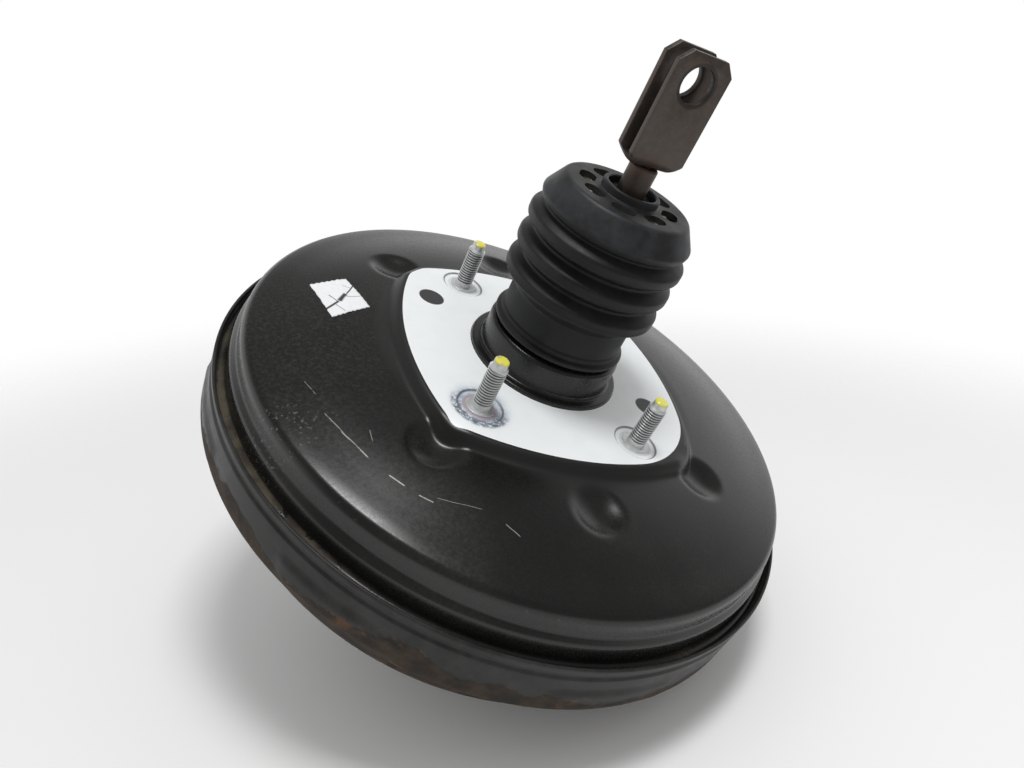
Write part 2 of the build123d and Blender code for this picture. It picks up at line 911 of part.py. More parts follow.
def clevis():
    """Strap bent into a U, with corners cut off and one pin hole through both ears."""
    half = clevis_outer / 2
    inner = clevis_gap / 2
    inner_bend = clevis_bend_r - clevis_sheet
    strap = make_face(
        FilletPolyline(
            (-half, clevis_top),
            (-half, clevis_base),
            (half, clevis_base),
            (half, clevis_top),
            (inner, clevis_top),
            (inner, clevis_base + clevis_sheet),
            (-inner, clevis_base + clevis_sheet),
            (-inner, clevis_top),
            radius=[0, clevis_bend_r, clevis_bend_r, 0, 0, inner_bend, inner_bend, 0],
            close=True,
        )
    )
    body = extrude(Plane.XZ * strap, amount=clevis_width / 2, both=True)
    wide = clevis_width / 2
    cut = clevis_corner
    corners = [
        (-wide, clevis_top - cut),
        (-wide + cut, clevis_top),
        (wide - cut, clevis_top),
        (wide, clevis_top - cut),
        (wide, clevis_base + cut),
        (wide - cut, clevis_base),
        (-wide + cut, clevis_base),
        (-wide, clevis_base + cut),
    ]
    side = make_face(FilletPolyline(*corners, radius=[clevis_side_round] * len(corners), close=True))
    body &= extrude(Plane.YZ * side, amount=clevis_outer, both=True)
    across = Rot(0, 90, 0) * Cylinder(pin_r, 2 * clevis_outer)
    body -= Pos(0, 0, pin_height) * across
    body -= Pos(0, 0, clevis_base) * Cylinder(tenon_r, 4 * clevis_sheet)
    return Rot(0, 0, pin_turn - 90) * body


# ---------------------------------------------------------------- filters and boot
def air_filter():
    """Felt disc in the open end of the tail."""
    top = tail_top - 1.0
    return pipe(filter_bore_r - running_gap, filter_hole_r, top - felt_height, top)


def silencer():
    """Foam disc under the felt that quietens the air."""
    top = tail_top - 1.0 - felt_height - loose_gap
    return pipe(filter_bore_r - running_gap, filter_hole_r, top - foam_height, top)


def dust_boot():
    """Rubber boot from the neck to the rod: sleeve, three folds and a cap with air holes."""
    seat = collar_r + 0.05
    line = [
        (seat, boot_start, 0),
        (boot_bead_r, boot_start, 0.8),
        (boot_bead_r, boot_start + 2.4, 1.0),
        (sleeve_r, boot_start + 3.2, 0.8),
        (sleeve_r, boot_ring_heights[0] - 2 * boot_ring_half, 2.0),
    ]
    inner = [
        (seat, collar_top + 1.0, 1.0),
        (sleeve_r - boot_wall, boot_ring_heights[0] - 2 * boot_ring_half + 1.0, 2.0),
    ]
    for i, height in enumerate(boot_ring_heights):
        if i:
            valley = (boot_ring_heights[i - 1] + height) / 2
            line.append((boot_valley_r, valley, 1.4))
            inner.append((boot_valley_r - boot_wall, valley, 1.2))
        line += [
            (boot_ring_r, height - boot_ring_half * 0.62, 2.2),
            (boot_ring_r, height + boot_ring_half * 0.62, 2.2),
        ]
        inner.append((boot_ring_r - boot_wall, height, 2.4))
    line += [
        (boot_valley_r, boot_cap_bottom - 1.4, 1.0),
        (boot_cap_r - 1.0, boot_cap_bottom, 1.0),
        (boot_cap_r, boot_cap_edge, 1.4),
        (boot_top_r, boot_top, 1.6),
        (boot_ring_outer_r, boot_top, 0.6),
        (boot_ring_outer_r, boot_ring_top, 0.6),
        (boot_ring_inner_r, boot_ring_top, 0.6),
        (boot_ring_inner_r, boot_top, 1.0),
        (rod_r + 0.1, boot_top - 2.6, 0),
    ]
    inner += [
        (boot_valley_r - boot_wall, boot_cap_bottom - 0.6, 1.2),
        (boot_cap_r - 1.0 - boot_wall, boot_cap_edge, 1.2),
        (boot_top_r - boot_wall, boot_top - 2.4, 1.0),
        (tail_r + 0.5, boot_top - 2.4, 0),
        (tail_r + 0.5, tail_top + 0.2, 0),
        (tail_r - 1.5, tail_top + 0.2, 0),
        (tail_r - 1.5, boot_top - 2.4, 0),
        (boot_ring_inner_r, boot_top - 2.4, 0.6),
        (rod_r + 0.1, boot_top - 4.6, 0),
    ]
    body = turned([*line, *reversed(inner)])
    hole = SlotOverall(air_hole_length, air_hole_width, rotation=90)
    punch = Pos(air_hole_circle_r, 0, boot_top - 3.5) * extrude(hole, amount=5)
    for i in range(air_hole_count):
        body -= Rot(0, 0, (i + 0.5) * 360 / air_hole_count) * punch
    return body


# ---------------------------------------------------------------- check valve
shell_low = -cone_drop
shell_high = -cone_drop + front_sheet
valve_stub_top = shell_high + grommet_lip + check_stub
chamber_top = shell_low - grommet_lip - check_step
chamber_bottom = chamber_top - check_chamber_height
elbow_z = chamber_bottom - hose_r - check_step
disc_rest_top = chamber_top - seat_gap


def at_check(shape):
    """Put a shape modelled on the axis at the check valve's place on the front shell."""
    return Pos(*check_place, 0) * (Rot(0, 0, check_angle) * shape)


def check_valve_grommet():
    """Rubber grommet snapped into the front shell."""
    return at_check(
        turned(
            [
                (grommet_hole_r, shell_low - grommet_lip, 0.4),
                (grommet_r, shell_low - grommet_lip, 0.8),
                (grommet_r, shell_low, 0),
                (grommet_groove_r - running_gap, shell_low, 0),
                (grommet_groove_r - running_gap, shell_high, 0),
                (grommet_r - 0.6, shell_high, 0),
                (grommet_r - 0.6, shell_high + 1.0, 0.6),
                (grommet_groove_r - 0.6, shell_high + grommet_lip, 0.6),
                (grommet_hole_r, shell_high + grommet_lip, 0.4),
            ]
        )
    )


def along_hose(corners):
    """Solid turned about the hose spigot's line, from the valve's middle outwards."""
    return Pos(0, 0, elbow_z) * (Rot(0, 90, 0) * turned(corners))


def check_valve_housing():
    """Plastic check valve: stub in the grommet, chamber for the disc, and a bent hose spigot."""
    stub_r = grommet_hole_r - running_gap
    body = turned(
        [
            (0, elbow_z - hose_r - elbow_wall, 0),
            (check_body_r - check_step, elbow_z - hose_r - elbow_wall, elbow_wall),
            (check_body_r - check_step, chamber_bottom, check_step),
            (check_body_r, chamber_bottom + check_step, small_round),
            (check_body_r, shell_low - grommet_lip, small_round),
            (stub_r, shell_low - grommet_lip, 0),
            (stub_r, valve_stub_top, edge_round),
            (0, valve_stub_top, 0),
        ]
    )
    body += along_hose(
        [
            (0, 0, 0),
            (hose_stop_r, 0, 0),
            (hose_stop_r, hose_stop_reach - (hose_stop_r - hose_r), 0),
            (hose_r, hose_stop_reach, 0),
            (hose_r, hose_reach - hose_chamfer, 0),
            (hose_r - hose_chamfer, hose_reach, 0),
            (0, hose_reach, 0),
        ]
    )
    body -= pipe(check_chamber_r, 0, chamber_bottom, chamber_top)
    body -= pipe(check_seat_hole_r, 0, chamber_top, valve_stub_top)
    body -= pipe(check_seat_hole_r, 0, elbow_z, chamber_bottom)
    body -= along_hose([(0, 0, 0), (hose_hole_r, 0, 0), (hose_hole_r, hose_reach + 1, 0), (0, hose_reach + 1, 0)])
    return at_check(body)


def check_valve_disc():
    """Rubber disc that closes the seat when the hose's vacuum fails."""
    return at_check(pipe(check_disc_r, 0, disc_rest_top - check_disc_height, disc_rest_top))


def check_valve_spring():
    """Small spring under the disc."""
    mean = check_seat_hole_r + disc_wire
    return at_check(
        coil(disc_wire, disc_turns, chamber_bottom, disc_rest_top - check_disc_height, mean, mean)
    )


# ---------------------------------------------------------------- write the parts
makers = [
    rear_shell,
    front_shell,
    firewall_studs,
    master_cylinder_studs,
    rear_backing_plate,
    front_backing_plate,
    neck_seal,
    neck_guide,
    seal_retainer,
    diaphragm,
    diaphragm_plate,
    valve_body,
    stop_key,
    valve_plunger,
    reaction_disc,
    output_rod,
    output_rod_cup,
    return_spring,
    poppet_valve,
    poppet_retainer,
    poppet_spring,
    rod_return_spring,
    input_rod,
    clevis,
    air_filter,
    silencer,
    dust_boot,
    check_valve_grommet,
    check_valve_housing,
    check_valve_disc,
    check_valve_spring,
]

if __name__ == "__main__":
    for maker in makers:
        shape = maker()
        if isinstance(shape, list):
            shape = Compound(children=shape)
        export_step(shape, f"parts/{maker.__name__}.step")
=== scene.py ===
import json
from math import atan2, ceil, cos, hypot, pi, radians, sin, sqrt, tan

import bmesh
import bpy
from mathutils import Matrix, Vector


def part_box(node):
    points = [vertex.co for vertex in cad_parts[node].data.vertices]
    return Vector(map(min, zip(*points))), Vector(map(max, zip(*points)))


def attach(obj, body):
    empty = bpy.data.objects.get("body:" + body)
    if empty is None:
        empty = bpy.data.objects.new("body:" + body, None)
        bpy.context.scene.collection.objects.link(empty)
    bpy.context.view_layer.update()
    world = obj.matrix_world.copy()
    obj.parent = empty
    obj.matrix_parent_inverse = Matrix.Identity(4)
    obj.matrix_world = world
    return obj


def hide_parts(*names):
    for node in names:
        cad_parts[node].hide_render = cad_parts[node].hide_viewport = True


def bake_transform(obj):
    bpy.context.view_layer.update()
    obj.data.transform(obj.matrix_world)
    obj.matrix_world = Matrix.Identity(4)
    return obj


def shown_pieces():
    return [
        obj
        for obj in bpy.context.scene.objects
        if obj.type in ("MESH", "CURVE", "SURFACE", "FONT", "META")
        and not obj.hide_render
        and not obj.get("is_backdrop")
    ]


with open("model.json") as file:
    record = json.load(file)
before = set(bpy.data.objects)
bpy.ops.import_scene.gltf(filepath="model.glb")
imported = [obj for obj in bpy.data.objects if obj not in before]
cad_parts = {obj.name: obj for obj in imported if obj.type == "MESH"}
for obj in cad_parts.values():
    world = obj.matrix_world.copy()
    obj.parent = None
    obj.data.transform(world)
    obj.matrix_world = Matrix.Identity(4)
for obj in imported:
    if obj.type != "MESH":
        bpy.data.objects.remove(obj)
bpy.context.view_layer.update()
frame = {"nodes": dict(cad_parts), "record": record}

bl_info = {
    "name": "Vacuum Brake Booster",
    "version": (1, 0, 0),
    "blender": (4, 5, 0),
    "location": "3D View > Sidebar > Booster",
    "description": "Builds the visible pieces and finishes of a vacuum brake booster round its packed parts",
    "category": "Object",
}

MM = 0.001
FULL_TURN = 2 * pi
MOUNTS = {mount["name"]: mount for mount in frame["record"]["mounts"]}
STUD_GAP_X = MOUNTS["firewall_studs"]["dims"]["spacing_x_mm"]
STUD_GAP_Y = MOUNTS["firewall_studs"]["dims"]["spacing_y_mm"]
STUD_R = MOUNTS["firewall_studs"]["dims"]["stud_r_mm"]
STUD_PLACES = [(x * STUD_GAP_X / 2, y * STUD_GAP_Y / 2) for x, y in ((-1, 1), (-1, -1), (1, -1), (1, 1))]
MASTER_STUD_GAP = MOUNTS["master_cylinder_studs"]["dims"]["spacing_x_mm"]
NOSE_Z = MOUNTS["master_cylinder_face"]["pos_m"][2] / MM
PIN_HEIGHT = MOUNTS["clevis_pin"]["pos_m"][2] / MM
PIN_R = MOUNTS["clevis_pin"]["dims"]["r_mm"]
PIN_AXIS = Vector(MOUNTS["clevis_pin"]["axis"])
SEAT_R = 9.6
SEAT_DEPTH = 0.8
SHEET = 1.4


def top_of(node):
    """Highest point of a CAD node, in millimetres."""
    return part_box(node)[1].z / MM


def foot_of(node):
    """Lowest point of a CAD node, in millimetres."""
    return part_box(node)[0].z / MM


def size(name, description, value):
    """A length that a user can change, shown in the scene's units and given here in millimetres."""
    return bpy.props.FloatProperty(
        name=name, description=description, default=value * MM, unit="LENGTH", subtype="DISTANCE"
    )


def colour(name, description, value):
    """A colour that a user can change."""
    return bpy.props.FloatVectorProperty(
        name=name, description=description, default=value, size=3, min=0, max=1, subtype="COLOR"
    )


# ---------------------------------------------------------------- settings
class BoosterShell(bpy.types.PropertyGroup):
    """Sizes of the two housing pressings."""
    neck_radius: size("Neck radius", "Outside radius of the rear shell's neck", 31.0)
    foot_radius: size("Foot radius", "Radius of the rolled step where the neck meets the land", 35.5)
    crown_radius: size("Crown radius", "Radius at which the crown turns towards the shoulder", 96.0)
    crown_drop: size("Crown drop", "Depth of the crown below the land at that radius", 5.4)
    shoulder_radius: size("Shoulder radius", "Radius of the crown's outer shoulder", 130.0)
    shoulder_drop: size("Shoulder drop", "Depth of the shoulder below the land", 13.8)
    dent_circle: size("Dent circle", "Radius of the circle that the dents lie on", 87.0)
    dent_width: size("Dent width", "Width of one round dent", 23.0)
    dent_depth: size("Dent depth", "Depth of one round dent", 3.4)
    crimp_depth: size("Crimp depth", "How far a crimp stands out of the rim", 1.0)


class BoosterBoot(bpy.types.PropertyGroup):
    """Sizes of the rubber boot."""
    ring_radius: size("Fold radius", "Outside radius of a fold", 34.7)
    valley_radius: size("Valley radius", "Outside radius between the folds", 29.2)
    cap_radius: size("Cap radius", "Widest radius of the cap", 33.2)
    hole_length: size("Air hole length", "Length of an air hole across the cap's radius", 10.5)
    hole_width: size("Air hole width", "Width of an air hole along the cap's radius", 7.2)


class BoosterRod(bpy.types.PropertyGroup):
    """Sizes of the push rod and its clevis."""
    rod_radius: size("Rod radius", "Radius of the push rod", 6.0)
    clevis_width: size("Clevis width", "Width of the clevis strap", 25.5)
    clevis_gap: size("Clevis gap", "Gap between the clevis's two ears", 6.5)
    clevis_sheet: size("Clevis sheet", "Thickness of the clevis strap", 2.5)


class BoosterColours(bpy.types.PropertyGroup):
    """Base colours of the finishes."""
    paint: colour("Black paint", "Paint of the rear shell", (0.0075, 0.0072, 0.0068))
    land: colour("Land", "Pale coat on the firewall land", (0.86, 0.885, 0.89))
    front: colour("Front shell", "Worn paint of the front shell", (0.020, 0.0195, 0.019))
    rust: colour("Rust", "Rust and brown stains", (0.16, 0.075, 0.032))
    dust: colour("Dust", "Dry dust in the ledge", (0.085, 0.072, 0.048))
    rubber: colour("Rubber", "Boot and seals", (0.0085, 0.0085, 0.009))
    zinc: colour("Zinc", "Plated studs", (0.74, 0.75, 0.75))
    paint_tip: colour("Tip paint", "Paint dab on the studs' ends", (0.74, 0.70, 0.08))
    rod: colour("Rod steel", "Blackened steel of rod and clevis", (0.062, 0.050, 0.042))
    felt: colour("Felt", "Felt air filter", (0.86, 0.82, 0.58))


class BoosterStage(bpy.types.PropertyGroup):
    """Camera and light."""
    lens: bpy.props.FloatProperty(
        name="Lens", description="Focal length of the camera in millimetres", default=26.67, min=1,
        subtype="NONE",
    )
    key: bpy.props.FloatProperty(
        name="Key lamp", description="Power of the soft lamp", default=4.6, min=0, unit="POWER"
    )
    fill: bpy.props.FloatProperty(
        name="Fill", description="Strength of the even light from all round", default=0.57, min=0,
        subtype="FACTOR",
    )


def settings(name):
    """One group of settings on the scene."""
    return getattr(bpy.context.scene, f"booster_{name}")


def millimetres(group):
    """A group's lengths in millimetres, by name."""
    names = set(group.bl_rna.properties.keys()) - {"rna_type", "name"}
    return {name: getattr(group, name) / MM for name in names}


# ---------------------------------------------------------------- mesh helpers
def wire(bm, corners, closed=True, arc_step=radians(16)):
    """Outline of (radius, height, round) corners in the XZ plane, with its corners rounded."""
    verts = [bm.verts.new((r, 0, z)) for r, z, _ in corners]
    for a, b in zip(verts, verts[1:]):
        bm.edges.new((a, b))
    if closed:
        bm.edges.new((verts[-1], verts[0]))
    spots = [Vector((r, z)) for r, z, _ in corners]
    for i, (vert, (_, _, bend)) in enumerate(zip(verts, corners)):
        if bend:
            before = spots[i] - spots[i - 1]
            after = spots[(i + 1) % len(spots)] - spots[i]
            turn = before.angle(after)
            bmesh.ops.bevel(
                bm, geom=[vert], offset=bend * tan(turn / 2), offset_type="OFFSET", profile=0.5,
                segments=max(2, ceil(turn / arc_step)), affect="VERTICES", material=-1,
            )


def cut_long_edges(bm, longest):
    """Divide each straight run of an outline so that no edge is longer than its place allows."""
    for edge in list(bm.edges):
        middle = (edge.verts[0].co + edge.verts[1].co) / 2
        cuts = int(edge.calc_length() / longest(middle.x, middle.z))
        if cuts:
            bmesh.ops.subdivide_edges(bm, edges=[edge], cuts=cuts)


def spin(bm, steps, turn=FULL_TURN, rise=0.0, merge=0.001):
    """Spin the outline about the Z axis, close the seam and the poles, and point the faces outwards."""
    bmesh.ops.spin(
        bm, geom=bm.verts[:] + bm.edges[:], cent=(0, 0, 0), axis=(0, 0, 1), dvec=(0, 0, rise / steps),
        angle=turn, steps=steps, use_merge=rise == 0 and turn == FULL_TURN,
    )
    bmesh.ops.remove_doubles(bm, verts=bm.verts, dist=merge)
    bmesh.ops.recalc_face_normals(bm, faces=bm.faces)


def lathe(corners, steps=96, closed=True, longest=None):
    """Turned shape from an outline."""
    bm = bmesh.new()
    wire(bm, corners, closed)
    if longest:
        cut_long_edges(bm, longest)
    spin(bm, steps)
    return bm


def beneath(path, wall):
    """Corners of a sheet's inner line, one wall to the right of its outer line."""
    steps = [Vector((b[0] - a[0], b[1] - a[1])).normalized() for a, b in zip(path, path[1:])]
    inner = []
    for i, (r, z, bend) in enumerate(path):
        a = steps[max(i - 1, 0)]
        b = steps[min(i, len(steps) - 1)]
        share = wall / (1 + a.dot(b))
        turn = a.x * b.y - a.y * b.x
        inside = bend + wall if turn > 0 else max(bend - wall, 0.0)
        inner.append((r + share * (a.y + b.y), z - share * (a.x + b.x), inside if bend else 0.0))
    return inner


def soften(value):
    """Smooth step from 0 to 1."""
    t = min(max(value, 0.0), 1.0)
    return t * t * (3 - 2 * t)


def make_piece(name, bm, materials, sharp=38.0):
    """Turn a bmesh in millimetres into a piece in metres, smooth apart from its sharp edges."""
    bmesh.ops.scale(bm, vec=(MM, MM, MM), verts=bm.verts)
    for face in bm.faces:
        face.smooth = True
    limit = radians(sharp)
    for edge in bm.edges:
        if len(edge.link_faces) == 2 and edge.calc_face_angle(0) > limit:
            edge.smooth = False
    mesh = bpy.data.meshes.new(name)
    bm.to_mesh(mesh)
    bm.free()
    piece = bpy.data.objects.new(name, mesh)
    bpy.context.scene.collection.objects.link(piece)
    for material in materials:
        mesh.materials.append(material)
    return piece


def stands_for(piece, body, slot, *nodes):
    """A finished piece rides on its body and stands for its CAD nodes."""
    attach(piece, body)
    if nodes:
        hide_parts(*nodes)
    return piece


def apply_modifiers(piece):
    """Bake a piece's modifiers into its mesh."""
    graph = bpy.context.evaluated_depsgraph_get()
    mesh = bpy.data.meshes.new_from_object(piece.evaluated_get(graph))
    piece.modifiers.clear()
    old = piece.data
    piece.data = mesh
    mesh.name = old.name
    bpy.data.meshes.remove(old)


def cut_with(piece, cutter_bm):
    """Take a bmesh in millimetres out of a piece."""
    cutter = make_piece("cutter", cutter_bm, [])
    modifier = piece.modifiers.new("cut", "BOOLEAN")
    modifier.operation = "DIFFERENCE"
    modifier.solver = "EXACT"
    modifier.object = cutter
    bpy.context.view_layer.update()
    apply_modifiers(piece)
    mesh = cutter.data
    bpy.data.objects.remove(cutter)
    bpy.data.meshes.remove(mesh)


def mark_sharp(piece, sharp=38.0):
    """Smooth shading apart from the edges that turn more than the limit."""
    bm = bmesh.new()
    bm.from_mesh(piece.data)
    limit = radians(sharp)
    for face in bm.faces:
        face.smooth = True
    for edge in bm.edges:
        edge.smooth = not (len(edge.link_faces) == 2 and edge.calc_face_angle(0) > limit)
    bm.to_mesh(piece.data)
    bm.free()


def face_up(piece):
    """Turn an open sheet over if most of its faces look down."""
    if sum(face.normal.z for face in piece.data.polygons) < 0:
        piece.data.flip_normals()


def thicken(piece, wall):
    """Give an open sheet a wall of that many millimetres, below its faces."""
    sheet = piece.modifiers.new("sheet", "SOLIDIFY")
    sheet.thickness = wall * MM
    sheet.offset = -1


def round_edges(piece, width, segments, limit):
    """Round a piece's edges that turn more than the limit, and keep the result as its mesh."""
    edges = piece.modifiers.new("round_edges", "BEVEL")
    edges.width = width * MM
    edges.segments = segments
    edges.limit_method = "ANGLE"
    edges.angle_limit = radians(limit)
    apply_modifiers(piece)


# ---------------------------------------------------------------- finishes
class Nodes:
    """A node tree in the making."""

    def __init__(self, tree):
        self.tree = tree

    def link(self, output, socket):
        """Join an output to a socket, or set the socket to a plain value."""
        if isinstance(output, bpy.types.NodeSocket):
            self.tree.links.new(output, socket)
        elif socket.type == "RGBA" and len(output) == 3:
            socket.default_value = (*output, 1)
        else:
            socket.default_value = output

    def math(self, operation, a, b=0.0, c=0.0):
        """One Math node."""
        node = self.tree.nodes.new("ShaderNodeMath")
        node.operation = operation
        for value, socket in zip((a, b, c), node.inputs):
            self.link(value, socket)
        return node.outputs[0]

    def vector(self, operation, a, b=(0, 0, 0), output="Vector"):
        """One Vector Math node, and the output of it that is asked for."""
        node = self.tree.nodes.new("ShaderNodeVectorMath")
        node.operation = operation
        self.link(a, node.inputs[0])
        self.link(b, node.inputs[1])
        return node.outputs[output]

    def length(self, a):
        """Length of a vector."""
        return self.vector("LENGTH", a, output="Value")

    def dot(self, a, b):
        """Dot product of two vectors."""
        return self.vector("DOT_PRODUCT", a, b, "Value")

    def step(self, value, low, high, from_value=0.0, to_value=1.0):
        """Smooth step of a value between two limits."""
        node = self.tree.nodes.new("ShaderNodeMapRange")
        node.interpolation_type = "SMOOTHSTEP"
        self.link(value, node.inputs["Value"])
        numbers = (("From Min", low), ("From Max", high), ("To Min", from_value), ("To Max", to_value))
        for name, number in numbers:
            node.inputs[name].default_value = number
        return node.outputs[0]

    def mix(self, factor, a, b):
        """Mix of two colours."""
        node = self.tree.nodes.new("ShaderNodeMix")
        node.data_type = "RGBA"
        self.link(factor, node.inputs["Factor"])
        self.link(a, node.inputs[6])
        self.link(b, node.inputs[7])
        return node.outputs[2]

    def blend(self, factor, a, b):
        """Mix of two numbers."""
        node = self.tree.nodes.new("ShaderNodeMix")
        for value, socket in zip((factor, a, b), (node.inputs[0], node.inputs[2], node.inputs[3])):
            self.link(value, socket)
        return node.outputs[0]

    def times(self, *factors):
        """Product of several factors."""
        result = factors[0]
        for factor in factors[1:]:
            result = self.math("MULTIPLY", result, factor)
        return result

    def most(self, *factors):
        """Largest of several factors."""
        result = factors[0]
        for factor in factors[1:]:
            result = self.math("MAXIMUM", result, factor)
        return result


class Finish(Nodes):
    """A material in the making. Its patterns read Object coordinates, in millimetres."""

    def __init__(self, name, roughness=0.5, metallic=0.0, **sockets):
        self.material = bpy.data.materials.new(name)
        self.material.use_nodes = True
        super().__init__(self.material.node_tree)
        self.shader = self.tree.nodes["Principled BSDF"]
        self.shader.inputs["Roughness"].default_value = roughness
        self.shader.inputs["Metallic"].default_value = metallic
        for socket, value in sockets.items():
            self.shader.inputs[socket.replace("_", " ")].default_value = value
        place = self.tree.nodes.new("ShaderNodeTexCoord")
        scale = self.tree.nodes.new("ShaderNodeVectorMath")
        scale.operation = "SCALE"
        scale.inputs["Scale"].default_value = 1 / MM
        self.link(place.outputs["Object"], scale.inputs[0])
        self.place = scale.outputs[0]
        split = self.tree.nodes.new("ShaderNodeSeparateXYZ")
        self.link(self.place, split.inputs[0])
        self.x, self.y, self.z = split.outputs
        self.radius = self.from_axis((0, 0))

    def from_axis(self, centre):
        """Distance from the upright line through a place."""
        moved = self.vector("SUBTRACT", self.place, (*centre, 0))
        return self.length(self.vector("MULTIPLY", moved, (1, 1, 0)))

    def noise(self, feature, detail=4.0, roughness=0.55, stretch=(1, 1, 1), shift=0.0):
        """Noise whose features are about that many millimetres across."""
        node = self.tree.nodes.new("ShaderNodeTexNoise")
        node.inputs["Scale"].default_value = 1 / feature
        node.inputs["Detail"].default_value = detail
        node.inputs["Roughness"].default_value = roughness
        moved = self.vector("ADD", self.place, (shift, shift, shift))
        self.link(self.vector("DIVIDE", moved, stretch), node.inputs["Vector"])
        return node.outputs["Fac"]

    def inverse(self, factor):
        """One minus a factor."""
        return self.math("SUBTRACT", 1.0, factor)

    def spot(self, centre, radius, edge=0.3):
        """Mask of a round spot seen along the axis."""
        return self.step(self.from_axis(centre), radius - edge, radius + edge, 1.0, 0.0)

    def ring(self, away, radius, inner, outer):
        """Mask of a thin ring: full up to inner from its radius, gone at outer."""
        off = self.math("ABSOLUTE", self.math("SUBTRACT", away, radius))
        return self.step(off, inner, outer, 1.0, 0.0)

    def stroke(self, start, end, width):
        """Mask of a thin straight scratch between two points, seen along the axis."""
        a, b = Vector(start), Vector(end)
        along = (b - a).normalized()
        middle = (a + b) / 2
        moved = self.vector("SUBTRACT", self.place, (middle.x, middle.y, 0))
        lengthwise = self.math("ABSOLUTE", self.dot(moved, (along.x, along.y, 0)))
        half = (b - a).length / 2
        reach = self.step(lengthwise, half * 0.8, half, 1.0, 0.0)
        wander = self.math("MULTIPLY_ADD", self.noise(9.0, 1.0), 0.8, -0.4)
        off = self.math("ABSOLUTE", self.math("ADD", self.dot(moved, (-along.y, along.x, 0)), wander))
        return self.times(reach, self.step(off, width * 0.3, width, 1.0, 0.0))

    def colour(self, value):
        """Base colour."""
        self.link(value, self.shader.inputs["Base Color"])

    def rough(self, value):
        """Roughness."""
        self.link(value, self.shader.inputs["Roughness"])

    def metal(self, value):
        """Metallic share."""
        self.link(value, self.shader.inputs["Metallic"])

    def bump(self, height, distance):
        """Surface relief of a height between 0 and 1, that many millimetres deep."""
        node = self.tree.nodes.new("ShaderNodeBump")
        node.inputs["Distance"].default_value = distance * MM
        self.link(height, node.inputs["Height"])
        if self.shader.inputs["Normal"].is_linked:
            self.link(self.shader.inputs["Normal"].links[0].from_socket, node.inputs["Normal"])
        self.link(node.outputs[0], self.shader.inputs["Normal"])


def shade(base, factor):
    """A colour made darker or lighter."""
    return tuple(min(part * factor, 1.0) for part in base)


SCRATCHES = (
    ((-94.5, -59.8), (-86.8, -68.6), 0.24),
    ((-88.2, -67.4), (-77.4, -79.2), 0.34),
    ((-70.5, -85.2), (-64.5, -89.4), 0.36),
    ((-59.9, -92.2), (-54.4, -94.9), 0.34),
    ((-54.1, -92.8), (-36.5, -95.3), 0.14),
    ((-28.7, -99.6), (-23.1, -104.0), 0.2),
    ((-78.0, -66.0), (-76.5, -72.0), 0.16),
    ((-103.0, -44.0), (-98.0, -51.0), 0.14),
)
LEDGE_DUST = (-118.0, -68.0)
DUSTY_PLACE = (-106.0, -20.0)
SCUFFS = (((-108.0, -67.0), 12.0, 8.0, 1.0), ((-96.0, -62.0), 7.0, 6.0, 0.5))
DUST_FILM = (0.17, 0.16, 0.145)
SCUFF = (0.30, 0.285, 0.27)
SCRATCH = (0.42, 0.39, 0.34)
SHOULDER_WEAR = (0.20, 0.17, 0.14)
DARK_EARTH = (0.040, 0.030, 0.022)


def black_paint():
    """Gloss black paint, a little dusty, scratched, with a scuffed shoulder and dust in the ledge."""
    tones = settings("colours")
    finish = Finish("black_paint", roughness=0.3, Specular_IOR_Level=0.46)
    blotch = finish.noise(45.0, 3.0)
    film = finish.noise(1.6, 6.0, 0.7)
    base = finish.mix(finish.step(blotch, 0.35, 0.7), tones.paint, shade(tones.paint, 1.6))
    dusty = finish.most(finish.step(blotch, 0.4, 0.75, 0.0, 0.4), finish.spot(DUSTY_PLACE, 34.0, 26.0))
    base = finish.mix(finish.times(finish.step(film, 0.42, 0.8), dusty, 0.16), base, DUST_FILM)
    flecks = finish.step(finish.noise(1.3, 3.0, shift=3.0), 0.60, 0.70)
    scuffed = finish.most(*(finish.times(finish.spot(*place), share) for *place, share in SCUFFS))
    base = finish.mix(finish.times(flecks, scuffed, 0.4), base, SCUFF)
    marks = finish.most(*(finish.stroke(*scratch) for scratch in SCRATCHES))
    broken = finish.step(finish.noise(2.5, 3.0), 0.3, 0.5, 0.25, 0.8)
    base = finish.mix(finish.times(marks, broken), base, SCRATCH)
    shoulder = finish.times(
        finish.step(finish.radius, 128.4, 130.4), finish.step(finish.z, -19.0, -15.0),
        finish.step(finish.noise(3.0, 5.0, 0.7, shift=9.0), 0.62, 0.70),
    )
    base = finish.mix(finish.times(shoulder, 0.5), base, SHOULDER_WEAR)
    ledge = finish.times(finish.step(finish.z, -32.2, -34.0), finish.step(finish.radius, 131.4, 133.4))
    grime = finish.step(finish.noise(7.0, 5.0, 0.7), 0.30, 0.50)
    patch = finish.most(
        finish.spot(LEDGE_DUST, 56.0, 22.0),
        finish.times(finish.step(finish.noise(60.0, 2.0, shift=40.0), 0.5, 0.62), 0.5),
    )
    dust = finish.times(ledge, grime, patch)
    earth = finish.mix(finish.step(finish.noise(11.0, 4.0, shift=21.0), 0.4, 0.62), tones.dust, DARK_EARTH)
    base = finish.mix(dust, base, earth)
    finish.colour(base)
    off_neck = finish.step(finish.radius, 52.0, 56.0)
    near_land = finish.times(off_neck, finish.step(finish.radius, 72.0, 88.0, 0.46, 0.0))
    dull = finish.most(finish.math("MULTIPLY", dust, 0.9), near_land)
    finish.rough(finish.most(finish.step(film, 0.2, 0.9, 0.22, 0.36), dull))
    finish.bump(finish.noise(0.9, 2.0), 0.005)
    finish.bump(dust, 0.25)
    finish.bump(marks, -0.03)
    return finish.material


